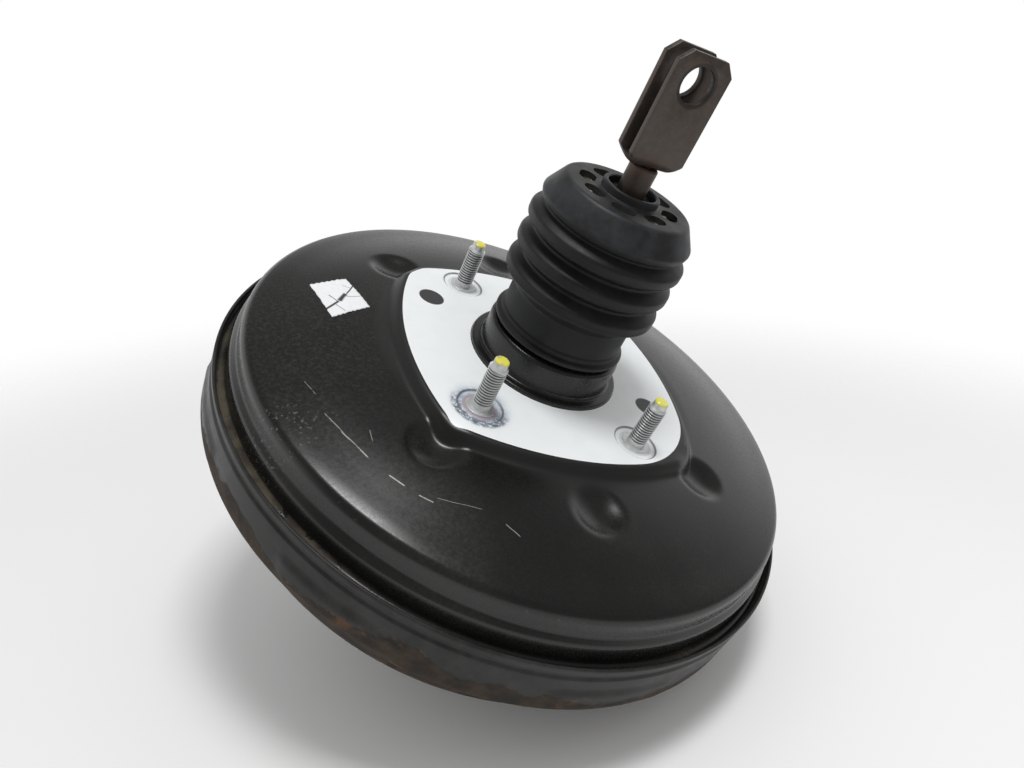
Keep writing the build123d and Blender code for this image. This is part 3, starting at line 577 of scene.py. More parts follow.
STAINED_STUD = STUD_PLACES[1]
STAIN_SIDE = (-0.35, -0.94, 0.0)
STAIN_HAZE = (0.52, 0.60, 0.68)
STAIN_DARK = (0.055, 0.068, 0.11)
STAIN_GREY = (0.22, 0.25, 0.33)
STAIN_PINK = (0.42, 0.25, 0.28)
GRIT = (0.12, 0.11, 0.10)
GRITTY = (((15.0, -45.0), 9.0, 5.0), ((48.0, 0.0), 7.0, 5.0))
SEAT_LINE = (0.09, 0.10, 0.12)
SEAT_RING = (0.30, 0.31, 0.33)
BLACK_DOTS = ((-52.7, 26.0), (50.0, -18.0))
DOT_R = 6.0
DOT_BLACK = (0.03, 0.03, 0.03)


def land_coat():
    """Pale coat on the firewall land, with stains round one stud, scuffs and two black dots."""
    tones = settings("colours")
    finish = Finish("land_coat", roughness=0.42)
    cloud = finish.noise(14.0, 4.0)
    base = finish.mix(finish.step(cloud, 0.45, 0.8, 0.0, 0.35), tones.land, shade(tones.land, 0.86))
    moved = finish.vector("SUBTRACT", finish.place, (*STAINED_STUD, 0))
    away = finish.from_axis(STAINED_STUD)
    side = finish.step(finish.dot(moved, STAIN_SIDE), -4.0, 7.0)
    thin = finish.step(finish.noise(6.0, 3.0), 0.3, 0.6, 0.3, 0.8)
    base = finish.mix(finish.times(finish.step(away, 9.0, 15.5, 1.0, 0.0), thin), base, STAIN_HAZE)
    mottle = finish.noise(2.0, 5.0, 0.7)
    crescent = finish.times(finish.step(away, 7.0, 9.0), finish.step(away, 11.6, 13.6, 1.0, 0.0), side)
    base = finish.mix(finish.times(crescent, finish.step(mottle, 0.40, 0.54), 0.92), base, STAIN_DARK)
    round_it = finish.times(finish.step(away, 10.0, 12.0, 1.0, 0.0), finish.step(mottle, 0.42, 0.6, 0.2, 0.8))
    base = finish.mix(finish.times(round_it, 0.6), base, STAIN_GREY)
    pink = finish.times(finish.step(away, 6.6, 8.4, 1.0, 0.0), finish.step(mottle, 0.3, 0.6, 0.35, 0.95))
    base = finish.mix(finish.times(pink, 0.8), base, STAIN_PINK)
    flecks = finish.step(finish.noise(1.3, 3.0, 0.6), 0.70, 0.76)
    gritty = [finish.spot(*place) for place in GRITTY]
    area = finish.most(finish.step(finish.noise(22.0, 2.0, shift=11.0), 0.56, 0.66), *gritty)
    base = finish.mix(finish.times(flecks, area, 0.8), base, GRIT)
    for place in STUD_PLACES:
        away = finish.from_axis(place)
        base = finish.mix(finish.times(finish.ring(away, SEAT_R + 0.1, 0.15, 0.6), 0.8), base, SEAT_LINE)
        base = finish.mix(finish.times(finish.ring(away, SEAT_R - 2.7, 0.3, 0.9), 0.35), base, SEAT_RING)
    for centre in BLACK_DOTS:
        base = finish.mix(finish.spot(centre, DOT_R), base, DOT_BLACK)
    finish.colour(base)
    finish.bump(finish.noise(1.1, 3.0), 0.010)
    return finish.material


LABEL_CORNERS = ((-106.8, 21.9), (-91.5, 31.1), (-80.5, 10.4), (-95.8, -2.5))
LABEL_TEARS = (
    ((-87.8, 26.6), (-90.8, 17.0), 0.5),
    ((-90.8, 17.6), (-93.6, 10.6), 1.5),
    ((-93.4, 11.2), (-99.6, 1.4), 0.8),
    ((-91.4, 15.4), (-84.6, 17.6), 0.22),
    ((-95.4, 8.2), (-90.4, 3.4), 0.22),
    ((-94.0, 10.2), (-98.4, 14.8), 0.3),
    ((-88.8, 23.0), (-93.0, 24.6), 0.18),
)
PAPER = (0.84, 0.85, 0.86)
PAPER_SHADE = (0.66, 0.67, 0.68)
PAPER_SHEET = 0.12
TORN = (0.045, 0.042, 0.04)


def torn_paper():
    """Blank white paper patch, torn across, with the paint showing through the tear."""
    finish = Finish("torn_paper", roughness=0.75)
    fibre = finish.noise(1.4, 4.0)
    base = finish.mix(finish.step(fibre, 0.3, 0.8, 0.0, 0.4), PAPER, PAPER_SHADE)
    tears = finish.most(*(finish.stroke(*tear) for tear in LABEL_TEARS))
    finish.colour(finish.mix(tears, base, TORN))
    finish.bump(fibre, 0.03)
    finish.bump(tears, -0.08)
    return finish.material


WORN_CLOUD = (0.040, 0.040, 0.040)
BROWN_DARK = (0.020, 0.015, 0.011)
BROWN_LIGHT = (0.055, 0.037, 0.024)
DARK_EDGE = (0.012, 0.010, 0.009)
BROWN_LINE = -60.5
BROWN_WAVE = 26.0


def worn_shell():
    """Worn black paint of the front shell: dull brown below a wavy line, with rust along it."""
    tones = settings("colours")
    finish = Finish("worn_shell", roughness=0.34, Specular_IOR_Level=0.16)
    wave = finish.math("MULTIPLY_ADD", finish.noise(30.0, 3.0), BROWN_WAVE, BROWN_LINE)
    below = finish.math("SUBTRACT", wave, finish.z)
    low = finish.step(below, -0.5, 1.0)
    grain = finish.noise(5.0, 6.0, 0.65)
    cloud = finish.noise(26.0, 3.0, shift=12.0)
    base = finish.mix(finish.step(grain, 0.3, 0.8), tones.front, shade(tones.front, 1.9))
    base = finish.mix(finish.step(cloud, 0.42, 0.7), base, WORN_CLOUD)
    patchy = finish.step(finish.noise(9.0, 5.0, 0.6, shift=5.0), 0.35, 0.65)
    brown = finish.mix(patchy, BROWN_DARK, BROWN_LIGHT)
    base = finish.mix(finish.times(low, 0.85), base, brown)
    edge = finish.step(finish.math("ABSOLUTE", below), 0.0, 1.6, 1.0, 0.0)
    base = finish.mix(finish.times(edge, finish.step(grain, 0.35, 0.55), 0.7), base, DARK_EDGE)
    blotches = finish.step(finish.noise(13.0, 5.0, 0.65, shift=7.0), 0.56, 0.68)
    stains = finish.times(blotches, finish.step(below, -5.0, 0.0))
    rust = finish.most(finish.times(edge, finish.step(grain, 0.55, 0.68)), finish.times(stains, 0.55))
    base = finish.mix(finish.times(rust, 0.75), base, tones.rust)
    finish.colour(base)
    dull = finish.most(finish.times(low, 0.62), finish.math("MULTIPLY", rust, 0.85))
    finish.rough(finish.most(finish.step(grain, 0.2, 0.8, 0.28, 0.44), dull))
    finish.bump(grain, 0.02)
    finish.bump(finish.most(rust, finish.times(low, 0.6)), 0.10)
    return finish.material


# Light bluish grey for dust and a painted sheen on the boot's cap.
DUST_AND_SHEEN = (0.040, 0.042, 0.047)
LINT = (0.10, 0.095, 0.09)


def boot_rubber():
    """Black moulded rubber with a faint bloom, and lighter patches over the cap that are partly dust and
    partly painted sheen.
    """
    tones = settings("colours")
    finish = Finish("boot_rubber", roughness=0.5, Specular_IOR_Level=0.32)
    bloom = finish.noise(9.0, 5.0, 0.65)
    base = finish.mix(finish.step(bloom, 0.35, 0.75), tones.rubber, shade(tones.rubber, 1.8))
    # Lighter bluish patches over the cap and the top: partly dust, partly a painted sheen where the rubber
    # faces up.
    dust_and_sheen = finish.step(finish.noise(14.0, 4.0, 0.6, shift=6.0), 0.35, 0.7)
    base = finish.mix(finish.times(finish.step(finish.z, 70.0, 76.0), dust_and_sheen, 0.6), base, DUST_AND_SHEEN)
    flecks = finish.step(finish.noise(0.7, 2.0), 0.74, 0.82, 0.0, 0.25)
    base = finish.mix(flecks, base, LINT)
    finish.colour(base)
    finish.rough(finish.step(bloom, 0.25, 0.8, 0.42, 0.58))
    finish.bump(finish.noise(0.8, 3.0), 0.03)
    return finish.material


# Painted shade for the roots of the studs' threads.
THREAD_SHADE = (0.085, 0.085, 0.09)
THREAD_START = 1.6
DOG_LENGTH = 3.8
ZINC_METAL = 0.55


def zinc_studs():
    """Zinc-plated steel with a dab of paint on each rear stud's end."""
    tones = settings("colours")
    finish = Finish("zinc_studs", roughness=0.34, metallic=ZINC_METAL)
    grain = finish.noise(3.0, 3.0)
    base = finish.mix(finish.step(grain, 0.3, 0.7), tones.zinc, shade(tones.zinc, 0.85))
    away = finish.from_axis(STUD_PLACES[0])
    for place in STUD_PLACES[1:]:
        away = finish.math("MINIMUM", finish.from_axis(place), away)
    end = top_of("firewall_studs") - DOG_LENGTH - 0.2
    rising = finish.step(finish.z, THREAD_START, THREAD_START + 0.8)
    thread = finish.times(rising, finish.step(finish.z, end - 0.6, end, 1.0, 0.0))
    # Painted shade: the roots of the thread are darkened, on top of the thread cut into the mesh.
    groove = finish.step(away, STUD_R - 0.50, STUD_R - 0.12, 0.9, 0.0)
    base = finish.mix(finish.times(thread, groove), base, THREAD_SHADE)
    dab = finish.times(finish.step(finish.z, 22.4, 22.9), finish.step(finish.noise(2.2, 4.0), 0.36, 0.44))
    finish.colour(finish.mix(dab, base, tones.paint_tip))
    finish.metal(finish.math("MULTIPLY", finish.inverse(dab), ZINC_METAL))
    finish.rough(finish.step(grain, 0.2, 0.8, 0.28, 0.44))
    return finish.material


BROWN_RUST = (0.085, 0.042, 0.026)
# Dark brown for the painted shade on the rod below the clevis.
ROD_SHADE = (0.030, 0.020, 0.017)
BARE_SPECK = (0.20, 0.18, 0.16)
HOLE_GRIME = (0.016, 0.014, 0.013)


def rod_steel():
    """Blackened, slightly rusty steel of the push rod and clevis, with painted shade on the rod below the
    clevis.
    """
    tones = settings("colours")
    finish = Finish("rod_steel", roughness=0.45, metallic=0.5)
    grain = finish.noise(3.0, 6.0, 0.7)
    cloud = finish.noise(12.0, 3.0, shift=5.0)
    base = finish.mix(finish.step(grain, 0.3, 0.75), tones.rod, shade(tones.rod, 1.6))
    base = finish.mix(finish.step(cloud, 0.5, 0.75, 0.0, 0.6), base, BROWN_RUST)
    # Painted shade: the rod is darkened below the clevis, fading out towards the clevis's base.
    rod_shade = finish.step(finish.z, 92.0, 99.0, 0.4, 0.0)
    base = finish.mix(rod_shade, base, ROD_SHADE)
    specks = finish.step(finish.noise(0.9, 3.0, 0.6, shift=8.0), 0.68, 0.76)
    base = finish.mix(finish.times(specks, 0.6), base, BARE_SPECK)
    moved = finish.vector("SUBTRACT", finish.place, (0, 0, PIN_HEIGHT))
    from_pin = finish.length(finish.vector("CROSS_PRODUCT", moved, tuple(PIN_AXIS)))
    ring = finish.step(from_pin, PIN_R + 0.9, PIN_R + 1.7, 1.0, 0.0)
    base = finish.mix(finish.times(ring, 0.7), base, HOLE_GRIME)
    finish.colour(base)
    finish.rough(finish.step(grain, 0.2, 0.8, 0.34, 0.54))
    finish.bump(grain, 0.03)
    return finish.material


def felt():
    """Pale felt."""
    tones = settings("colours")
    finish = Finish("felt", roughness=0.95)
    fibre = finish.noise(0.6, 5.0, 0.7)
    finish.colour(finish.mix(finish.step(fibre, 0.3, 0.7), shade(tones.felt, 0.7), tones.felt))
    finish.bump(fibre, 0.25)
    return finish.material


def grained(name, base, roughness, metallic=0.0, feature=1.2, spread=0.7, depth=0.02):
    """Plain finish with a fine grain, for pieces inside or behind."""
    finish = Finish(name, roughness=roughness, metallic=metallic)
    grain = finish.noise(feature, 4.0)
    finish.colour(finish.mix(finish.step(grain, 0.3, 0.7), base, shade(base, spread)))
    finish.rough(finish.step(grain, 0.2, 0.8, roughness - 0.06, roughness + 0.08))
    finish.bump(grain, depth)
    return finish.material


FINISHES = {}


def finish_named(name):
    """The finish of that name, made once."""
    makers = {
        "black_paint": black_paint,
        "land_coat": land_coat,
        "torn_paper": torn_paper,
        "worn_shell": worn_shell,
        "boot_rubber": boot_rubber,
        "zinc_studs": zinc_studs,
        "rod_steel": rod_steel,
        "felt": felt,
        "foam": lambda: grained("foam", (0.09, 0.09, 0.09), 0.95, feature=0.8, depth=0.2),
        "bare_steel": lambda: grained("bare_steel", (0.42, 0.41, 0.39), 0.36, 0.9),
        "spring_steel": lambda: grained("spring_steel", (0.16, 0.16, 0.17), 0.32, 0.9),
        "nylon": lambda: grained("nylon", (0.66, 0.62, 0.52), 0.5, spread=0.9),
        "phenolic": lambda: grained("phenolic", (0.055, 0.042, 0.036), 0.42),
        "black_plastic": lambda: grained("black_plastic", (0.022, 0.022, 0.023), 0.4, spread=1.5),
        "seal_rubber": lambda: grained("seal_rubber", (0.02, 0.02, 0.021), 0.55, spread=1.6),
    }
    if name not in FINISHES:
        FINISHES[name] = makers[name]()
    return FINISHES[name]


# ---------------------------------------------------------------- rear shell
LAND_TURN = radians(7.0)
LAND_BOW = 138.0
LAND_HALF = 68.0
WHITE_HALF = 66.3
LAND_RING = 70.0
WHITE_RING = 67.5
WARP_START = 38.0
WARP_END = 104.0
CORNER_SOFT = {-3: 3.0, -1: 4.0, 1: 4.0, 3: 4.0}
WHITE_SOFT = {-3: 2.0, -1: 24.0, 1: 8.0, 3: 7.0}
DENT_STEP = radians(45.0)
DENT_RIM = 1.2
LAND_STEP_START = 4.4
LAND_STEP_WIDTH = 5.4
CROWN_FOOT = -1.4
CROWN_BEND = 14.1
COLLAR_R, COLLAR_TOP = 26.0, 22.0
NECK_TOP = 15.0
FOOT_TOP = 1.8
RIDGE_FOOT_R, RIDGE_FOOT = 130.3, -23.1
RIDGE_R, RIDGE_TOP = 132.6, -25.5
LEDGE_R, LEDGE = 132.9, -34.5
SKIRT_R, SKIRT_END = 136.3, -50.5
SHELL_STEPS = 384


def side_radius(angle, half):
    """Distance to the bowed side of a square, half its width from the centre, along a direction."""
    shift = LAND_BOW - half
    return sqrt(LAND_BOW**2 - (shift * sin(angle)) ** 2) - shift * cos(angle)


def square_radius(angle, half, softness):
    """Distance to the outline of a bowed square whose corners are rounded by their own softness."""
    turned = (angle - LAND_TURN + pi) % FULL_TURN - pi
    corner = 2 * int(turned // (pi / 2)) + 1
    off = turned - corner * pi / 4
    near = side_radius(pi / 4 + off, half)
    far = side_radius(pi / 4 - off, half)
    soft = softness[corner]
    share = max(soft - abs(near - far), 0.0) / soft
    return min(near, far) - soft * share * share / 4


def warped(radius, angle):
    """Radius of a ring of the grid, bent to follow the white coat's edge and the land's edge."""
    stops = [
        (WARP_START, WARP_START),
        (WHITE_RING, square_radius(angle, WHITE_HALF, WHITE_SOFT)),
        (LAND_RING, square_radius(angle, LAND_HALF, CORNER_SOFT) + 1.2),
        (WARP_END, WARP_END),
    ]
    for (r0, to0), (r1, to1) in zip(stops, stops[1:]):
        if r0 <= radius <= r1:
            return to0 + (to1 - to0) * (radius - r0) / (r1 - r0)
    return radius


def crown_height(radius, shell):
    """Height of the crown at a radius: two straight flanks joined by a long bend."""
    start = shell["foot_radius"]
    turn_r = shell["crown_radius"]
    end = shell["shoulder_radius"]
    first = (-shell["crown_drop"] - CROWN_FOOT) / (turn_r - start)
    second = (-shell["shoulder_drop"] + shell["crown_drop"]) / (end - turn_r)
    height = CROWN_FOOT + first * (radius - start)
    if radius > turn_r + CROWN_BEND:
        return -shell["crown_drop"] + second * (radius - turn_r)
    if radius > turn_r - CROWN_BEND:
        height += (second - first) * (radius - turn_r + CROWN_BEND) ** 2 / (4 * CROWN_BEND)
    return height


def relief(x, y, shell):
    """Height of the pressed face at a place: crown, raised land, dents and stud seats."""
    radius = hypot(x, y)
    angle = atan2(y, x)
    inside = square_radius(angle, LAND_HALF, CORNER_SOFT) - radius
    crown = crown_height(radius, shell)
    height = crown * (1 - soften((inside + LAND_STEP_START) / LAND_STEP_WIDTH))
    half = shell["dent_width"] / 2
    for side in (pi / 2, -pi / 2):
        for i in (-1, 0, 1):
            turn = LAND_TURN + side + i * DENT_STEP
            away = hypot(x - shell["dent_circle"] * cos(turn), y - shell["dent_circle"] * sin(turn))
            if away < half + 3:
                bowl = shell["dent_depth"] * (1 - (away / half) ** 2)
                share = max(DENT_RIM - abs(bowl), 0.0) / DENT_RIM
                height -= max(bowl, 0.0) + DENT_RIM * share * share / 4
    for stud_x, stud_y in STUD_PLACES:
        away = hypot(x - stud_x, y - stud_y)
        height -= SEAT_DEPTH * soften((SEAT_R + 0.4 - away) / 0.8)
    return height


def press_face(bm, shell):
    """Bend the rings of the spun face to the land's outline and press its relief."""
    start = shell["foot_radius"] + 0.6
    end = shell["shoulder_radius"] - 8
    coat = WHITE_RING + 0.01
    face_verts = []
    for vert in bm.verts:
        radius = hypot(vert.co.x, vert.co.y)
        if start < radius < end and vert.co.z < 1.0:
            face_verts.append(vert)
    for face in bm.faces:
        middle = face.calc_center_median()
        if middle.z < 1.0 and shell["foot_radius"] + 0.2 < hypot(middle.x, middle.y) < coat:
            face.material_index = 1
    for vert in face_verts:
        radius = hypot(vert.co.x, vert.co.y)
        angle = atan2(vert.co.y, vert.co.x)
        moved = warped(radius, angle)
        vert.co.x = moved * cos(angle)
        vert.co.y = moved * sin(angle)
    near = [
        edge for edge in bm.edges
        if all(any(hypot(v.co.x - x, v.co.y - y) < SEAT_R + 3.0 for x, y in STUD_PLACES) and v.co.z < 1.0
               for v in edge.verts)
    ]
    bmesh.ops.subdivide_edges(bm, edges=near, cuts=1, use_grid_fill=True)
    for vert in bm.verts:
        radius = hypot(vert.co.x, vert.co.y)
        if start < radius < end and vert.co.z < 1.0:
            vert.co.z = relief(vert.co.x, vert.co.y, shell)


class BOOSTER_OT_rear_shell(bpy.types.Operator):
    """Build the rear shell: neck, firewall land, dents, shoulder, ridge and ledge"""
    bl_idname = "booster.rear_shell"
    bl_label = "Rear shell"

    def execute(self, context):
        shell = millimetres(settings("shell"))
        neck = shell["neck_radius"]
        foot = shell["foot_radius"]
        path = [
            (COLLAR_R, COLLAR_TOP, 0),
            (COLLAR_R, NECK_TOP, 1.0),
            (neck, NECK_TOP, 2.2),
            (neck, FOOT_TOP, 1.6),
            (foot, FOOT_TOP, 1.0),
            (foot, 0.0, 0.4),
            (WARP_START, 0.0, 0),
            (WHITE_RING, 0.0, 0),
            (LAND_RING, 0.0, 0),
            (WARP_END, -7.0, 0),
            (shell["shoulder_radius"], -shell["shoulder_drop"], 4.2),
            (RIDGE_FOOT_R, RIDGE_FOOT, 2.0),
            (RIDGE_R, RIDGE_TOP, 2.4),
            (LEDGE_R, LEDGE, 1.8),
            (SKIRT_R, LEDGE, 1.5),
            (SKIRT_R, SKIRT_END, 0),
        ]
        bm = bmesh.new()
        wire(bm, path, closed=False, arc_step=radians(11))

        def longest(radius, height):
            if foot + 0.4 < radius < 72.0 and height > -1:
                return 1.15
            if 72.0 <= radius < 103.0:
                return 1.35
            return 4.0

        cut_long_edges(bm, longest)
        spin(bm, SHELL_STEPS)
        press_face(bm, shell)
        bmesh.ops.recalc_face_normals(bm, faces=bm.faces)
        piece = make_piece("rear_housing", bm, [finish_named("black_paint"), finish_named("land_coat")])
        face_up(piece)
        thicken(piece, SHEET)
        stands_for(piece, "housing", "black_paint", "rear_shell")
        return {"FINISHED"}


class BOOSTER_OT_paper_patch(bpy.types.Operator):
    """Lay the torn blank paper patch on the crown"""
    bl_idname = "booster.paper_patch"
    bl_label = "Paper patch"

    def execute(self, context):
        shell = millimetres(settings("shell"))
        a, b, c, d = (Vector(corner) for corner in LABEL_CORNERS)
        bm = bmesh.new()
        bmesh.ops.create_grid(bm, x_segments=24, y_segments=24, size=1.0)
        for vert in bm.verts:
            along, across = (vert.co.x + 1) / 2, (vert.co.y + 1) / 2
            spot = (a.lerp(b, along)).lerp(d.lerp(c, along), across)
            if vert.is_boundary:
                ragged = 0.25 * sin(spot.x * 2.3 + spot.y * 1.1) + 0.15 * sin(spot.y * 5.1)
                spot = spot + (spot - (a + b + c + d) / 4).normalized() * ragged
            lift = 0.16 + 0.22 * soften(1 - abs(along - 0.62 + 0.3 * (across - 0.5)) / 0.12)
            vert.co = (spot.x, spot.y, relief(spot.x, spot.y, shell) + lift)
        bmesh.ops.recalc_face_normals(bm, faces=bm.faces)
        piece = make_piece("paper_patch", bm, [finish_named("torn_paper")])
        face_up(piece)
        thicken(piece, PAPER_SHEET)
        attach(piece, "housing")
        return {"FINISHED"}


# ---------------------------------------------------------------- front shell
RIM_R = 138.1
RIM_ROUND = 0.65
LIP_TOP = -31.2
GROOVE_DEPTH = 0.8
SHELF = -58.6
DRUM_TOP_R, DRUM_END_R, DRUM_END = 127.6, 126.6, -80.0
CONE_R, CONE_END = 90.0, -98.0
NOSE_FOOT_R, NOSE_R, PILOT_R, PILOT_DEPTH = 54.0, 52.0, 23.0, 10.0
CRIMP_COUNT = 8
CRIMP_HALF = radians(11.0)
CRIMP_SIDE = radians(1.6)
CRIMP_FOOT, CRIMP_TOP, CRIMP_RAMP = -55.6, -44.0, 2.2


class BOOSTER_OT_front_shell(bpy.types.Operator):
    """Build the front shell: lip, crimped rim, shelf, drum, cone and nose"""
    bl_idname = "booster.front_shell"
    bl_label = "Front shell"

    def execute(self, context):
        shell = millimetres(settings("shell"))
        outer = [
            (RIM_R, LIP_TOP, RIM_ROUND),
            (RIM_R, -33.6, 0.7),
            (RIM_R - GROOVE_DEPTH, -34.6, 0.7),
            (RIM_R - GROOVE_DEPTH, -36.4, 0.7),
            (RIM_R, -37.6, 0.8),
            (RIM_R, SHELF, 3.0),
            (DRUM_TOP_R, SHELF, 2.0),
            (DRUM_END_R, DRUM_END, 16.0),
            (CONE_R, CONE_END, 8.0),
            (NOSE_FOOT_R, CONE_END, 4.0),
            (NOSE_R, NOSE_Z, 4.0),
            (PILOT_R, NOSE_Z, 2.0),
            (PILOT_R, NOSE_Z + PILOT_DEPTH, RIM_ROUND),
        ]
        inner = beneath(outer, SHEET)
        inner[0] = (*inner[0][:2], RIM_ROUND)
        inner[-1] = (*inner[-1][:2], RIM_ROUND)

        def longest(radius, height):
            return 1.6 if radius > 136 and -60 < height < -40 else 5.0

        bm = lathe([*outer, *reversed(inner)], SHELL_STEPS, longest=longest)
        for vert in bm.verts:
            radius = hypot(vert.co.x, vert.co.y)
            if radius > 135 and -59 < vert.co.z < -41:
                angle = atan2(vert.co.y, vert.co.x) % (FULL_TURN / CRIMP_COUNT) - CRIMP_HALF
                across = soften((CRIMP_HALF - abs(angle)) / CRIMP_SIDE + 0.5)
                from_foot = (vert.co.z - CRIMP_FOOT) / CRIMP_RAMP
                from_top = (CRIMP_TOP - vert.co.z) / CRIMP_RAMP
                down = soften(from_foot) * soften(from_top)
                grow = 1 + shell["crimp_depth"] * across * down / radius
                vert.co.x *= grow
                vert.co.y *= grow
        piece = make_piece("front_housing", bm, [finish_named("worn_shell")])
        stands_for(piece, "housing", "rusted_shell", "front_shell")
        return {"FINISHED"}


# ---------------------------------------------------------------- studs
THREAD_PITCH = 1.25
THREAD_DEPTH = 0.62
HEAD_R, HEAD_HEIGHT, HEAD_ROUND = 8.0, 2.6, 0.6
COLLAR_STUD_R, COLLAR_SEAT = 6.2, -0.8
DOG_R = 3.0


def threaded(bm, low, high):
    """Cut a helical thread into the spun wall of a stud between two heights."""
    for vert in bm.verts:
        radius = hypot(vert.co.x, vert.co.y)
        if radius > STUD_R - 0.05 and low < vert.co.z < high:
            turn = atan2(vert.co.y, vert.co.x) / FULL_TURN
            phase = (vert.co.z / THREAD_PITCH - turn) % 1.0
            groove = abs(2 * phase - 1)
            fade = soften(min(vert.co.z - low, high - vert.co.z) / THREAD_PITCH)
            cut = THREAD_DEPTH * soften(1.25 * groove - 0.12) * fade
            scale = (radius - cut) / radius
            vert.co.x *= scale
            vert.co.y *= scale


def stud_bm(corners, low, high):
    """One stud: a turned outline with a thread between two heights."""
    bm = lathe(corners, 40, longest=lambda r, z: 0.155 if r > STUD_R - 0.1 and low < z < high else 3.0)
    threaded(bm, low, high)
    return bm


def several(bm, places):
    """Copies of one mesh at several places, in one mesh."""
    whole = bmesh.new()
    mesh = bpy.data.meshes.new("copy")
    bm.to_mesh(mesh)
    bm.free()
    for place in places:
        mark = len(whole.verts)
        whole.from_mesh(mesh)
        whole.verts.ensure_lookup_table()
        bmesh.ops.transform(whole, matrix=place, verts=whole.verts[mark:])
    bpy.data.meshes.remove(mesh)
    return whole


class BOOSTER_OT_studs(bpy.types.Operator):
    """Build the firewall studs and the master-cylinder studs with their threads"""
    bl_idname = "booster.studs"
    bl_label = "Studs"

    def execute(self, context):
        top = top_of("firewall_studs")
        foot = foot_of("firewall_studs")
        dog = top - DOG_LENGTH
        rear = [
            (0, foot, 0), (HEAD_R, foot, HEAD_ROUND), (HEAD_R, foot + HEAD_HEIGHT, HEAD_ROUND),
            (STUD_R, foot + HEAD_HEIGHT, 0), (STUD_R, COLLAR_SEAT, 0), (COLLAR_STUD_R, COLLAR_SEAT, 0),
            (COLLAR_STUD_R, -0.1, 0.25), (STUD_R, -0.1, 0), (STUD_R, dog, 0.2), (DOG_R + 0.1, dog + 0.9, 0.15),
            (DOG_R, top - 0.5, 0.3), (DOG_R - 0.5, top, 0.2), (0, top, 0),
        ]
        places = [Matrix.Translation((x, y, 0)) @ Matrix.Rotation(x, 4, "Z") for x, y in STUD_PLACES]
        bm = several(stud_bm(rear, THREAD_START, dog), places)
        piece = make_piece("rear_studs", bm, [finish_named("zinc_studs")], sharp=60)
        stands_for(piece, "housing", "zinc_stud", "firewall_studs")
        head = top_of("master_cylinder_studs")
        tip = foot_of("master_cylinder_studs")
        front = [
            (0, head, 0), (HEAD_R, head, HEAD_ROUND), (HEAD_R, head - HEAD_HEIGHT, HEAD_ROUND),
            (STUD_R, head - HEAD_HEIGHT, 0),
            (STUD_R, tip + 0.8, 0.2), (3.2, tip, 0.2), (0, tip, 0),
        ]
        places = [Matrix.Translation((side * MASTER_STUD_GAP / 2, 0, 0)) for side in (-1, 1)]
        bm = several(stud_bm(front, tip + 0.9, NOSE_Z - 1.0), places)
        piece = make_piece("front_studs", bm, [finish_named("zinc_studs")], sharp=60)
        stands_for(piece, "housing", "zinc_stud", "master_cylinder_studs")
        return {"FINISHED"}


# ---------------------------------------------------------------- dust boot
BOOT_START = 16.6
BOOT_RINGS = (41.4, 53.2, 64.6)
BOOT_RING_HALF = 4.0
CAP_BOTTOM = 71.6
CAP_EDGE = 74.6
BOOT_TOP = 84.0
BOOT_WALL = 1.8
NECK_FIT_R = 26.05
CUFF_R = 27.9
BEAD_R = 30.4
CAP_FLAT_R = 27.2
RING_OUTER_R, RING_INNER_R, RING_TOP = 12.4, 10.4, 87.5
HOLE_COUNT = 8
HOLE_CIRCLE_R = 18.2


def boot_outline(boot):
    """Closed outline of the boot's wall, from the neck to the ring round the rod."""
    ring, valley = boot["ring_radius"], boot["valley_radius"]
    cap = boot["cap_radius"]
    first = BOOT_RINGS[0] - 2 * BOOT_RING_HALF
    line = [
        (NECK_FIT_R, BOOT_START, 0.3), (BEAD_R, BOOT_START, 1.1), (BEAD_R, BOOT_START + 2.2, 1.1),
        (CUFF_R + 0.7, BOOT_START + 3.0, 0.5), (CUFF_R + 0.7, BOOT_START + 4.6, 0.6),
        (CUFF_R, BOOT_START + 5.4, 0.6), (CUFF_R, first, 2.0),
    ]
    inner = [(NECK_FIT_R, COLLAR_TOP + 1.0, 1.0), (CUFF_R - BOOT_WALL, first + 1.0, 2.0)]
    for i, height in enumerate(BOOT_RINGS):
        if i:
            dip = (BOOT_RINGS[i - 1] + height) / 2
            line.append((valley, dip, 1.3))
            inner.append((valley - BOOT_WALL, dip, 1.2))
        line += [
            (ring, height - BOOT_RING_HALF * 0.5, 1.8),
            (ring, height + BOOT_RING_HALF * 0.5, 1.8),
        ]
        inner.append((ring - BOOT_WALL, height, 2.4))
    line += [
        (valley, CAP_BOTTOM - 1.4, 1.0), (cap - 1.0, CAP_BOTTOM, 1.2), (cap, CAP_EDGE, 1.8),
        (CAP_FLAT_R, BOOT_TOP, 2.4), (RING_OUTER_R, BOOT_TOP, 0.6), (RING_OUTER_R, RING_TOP, 0.7),
        (RING_INNER_R, RING_TOP, 0.7), (RING_INNER_R, BOOT_TOP - 1.0, 0),
    ]
    inner += [
        (valley - BOOT_WALL, CAP_BOTTOM - 0.6, 1.2), (cap - 1.0 - BOOT_WALL, CAP_EDGE, 1.2),
        (CAP_FLAT_R - BOOT_WALL, BOOT_TOP - 2.4, 1.0), (RING_INNER_R, BOOT_TOP - 2.4, 0),
    ]
    return [*line, *reversed(inner)]


def slot_bm(length, width, low, high):
    """Upright slot-shaped block, long along Y, with round ends."""
    bm = bmesh.new()
    bmesh.ops.create_circle(bm, cap_ends=True, radius=width / 2, segments=32)
    shift = (length - width) / 2
    for vert in bm.verts:
        vert.co.y += shift if vert.co.y > 0 else -shift
        vert.co.z = low
    grown = bmesh.ops.extrude_face_region(bm, geom=bm.faces[:])
    moved = [part for part in grown["geom"] if isinstance(part, bmesh.types.BMVert)]
    bmesh.ops.translate(bm, vec=(0, 0, high - low), verts=moved)
    bmesh.ops.recalc_face_normals(bm, faces=bm.faces)
    return bm


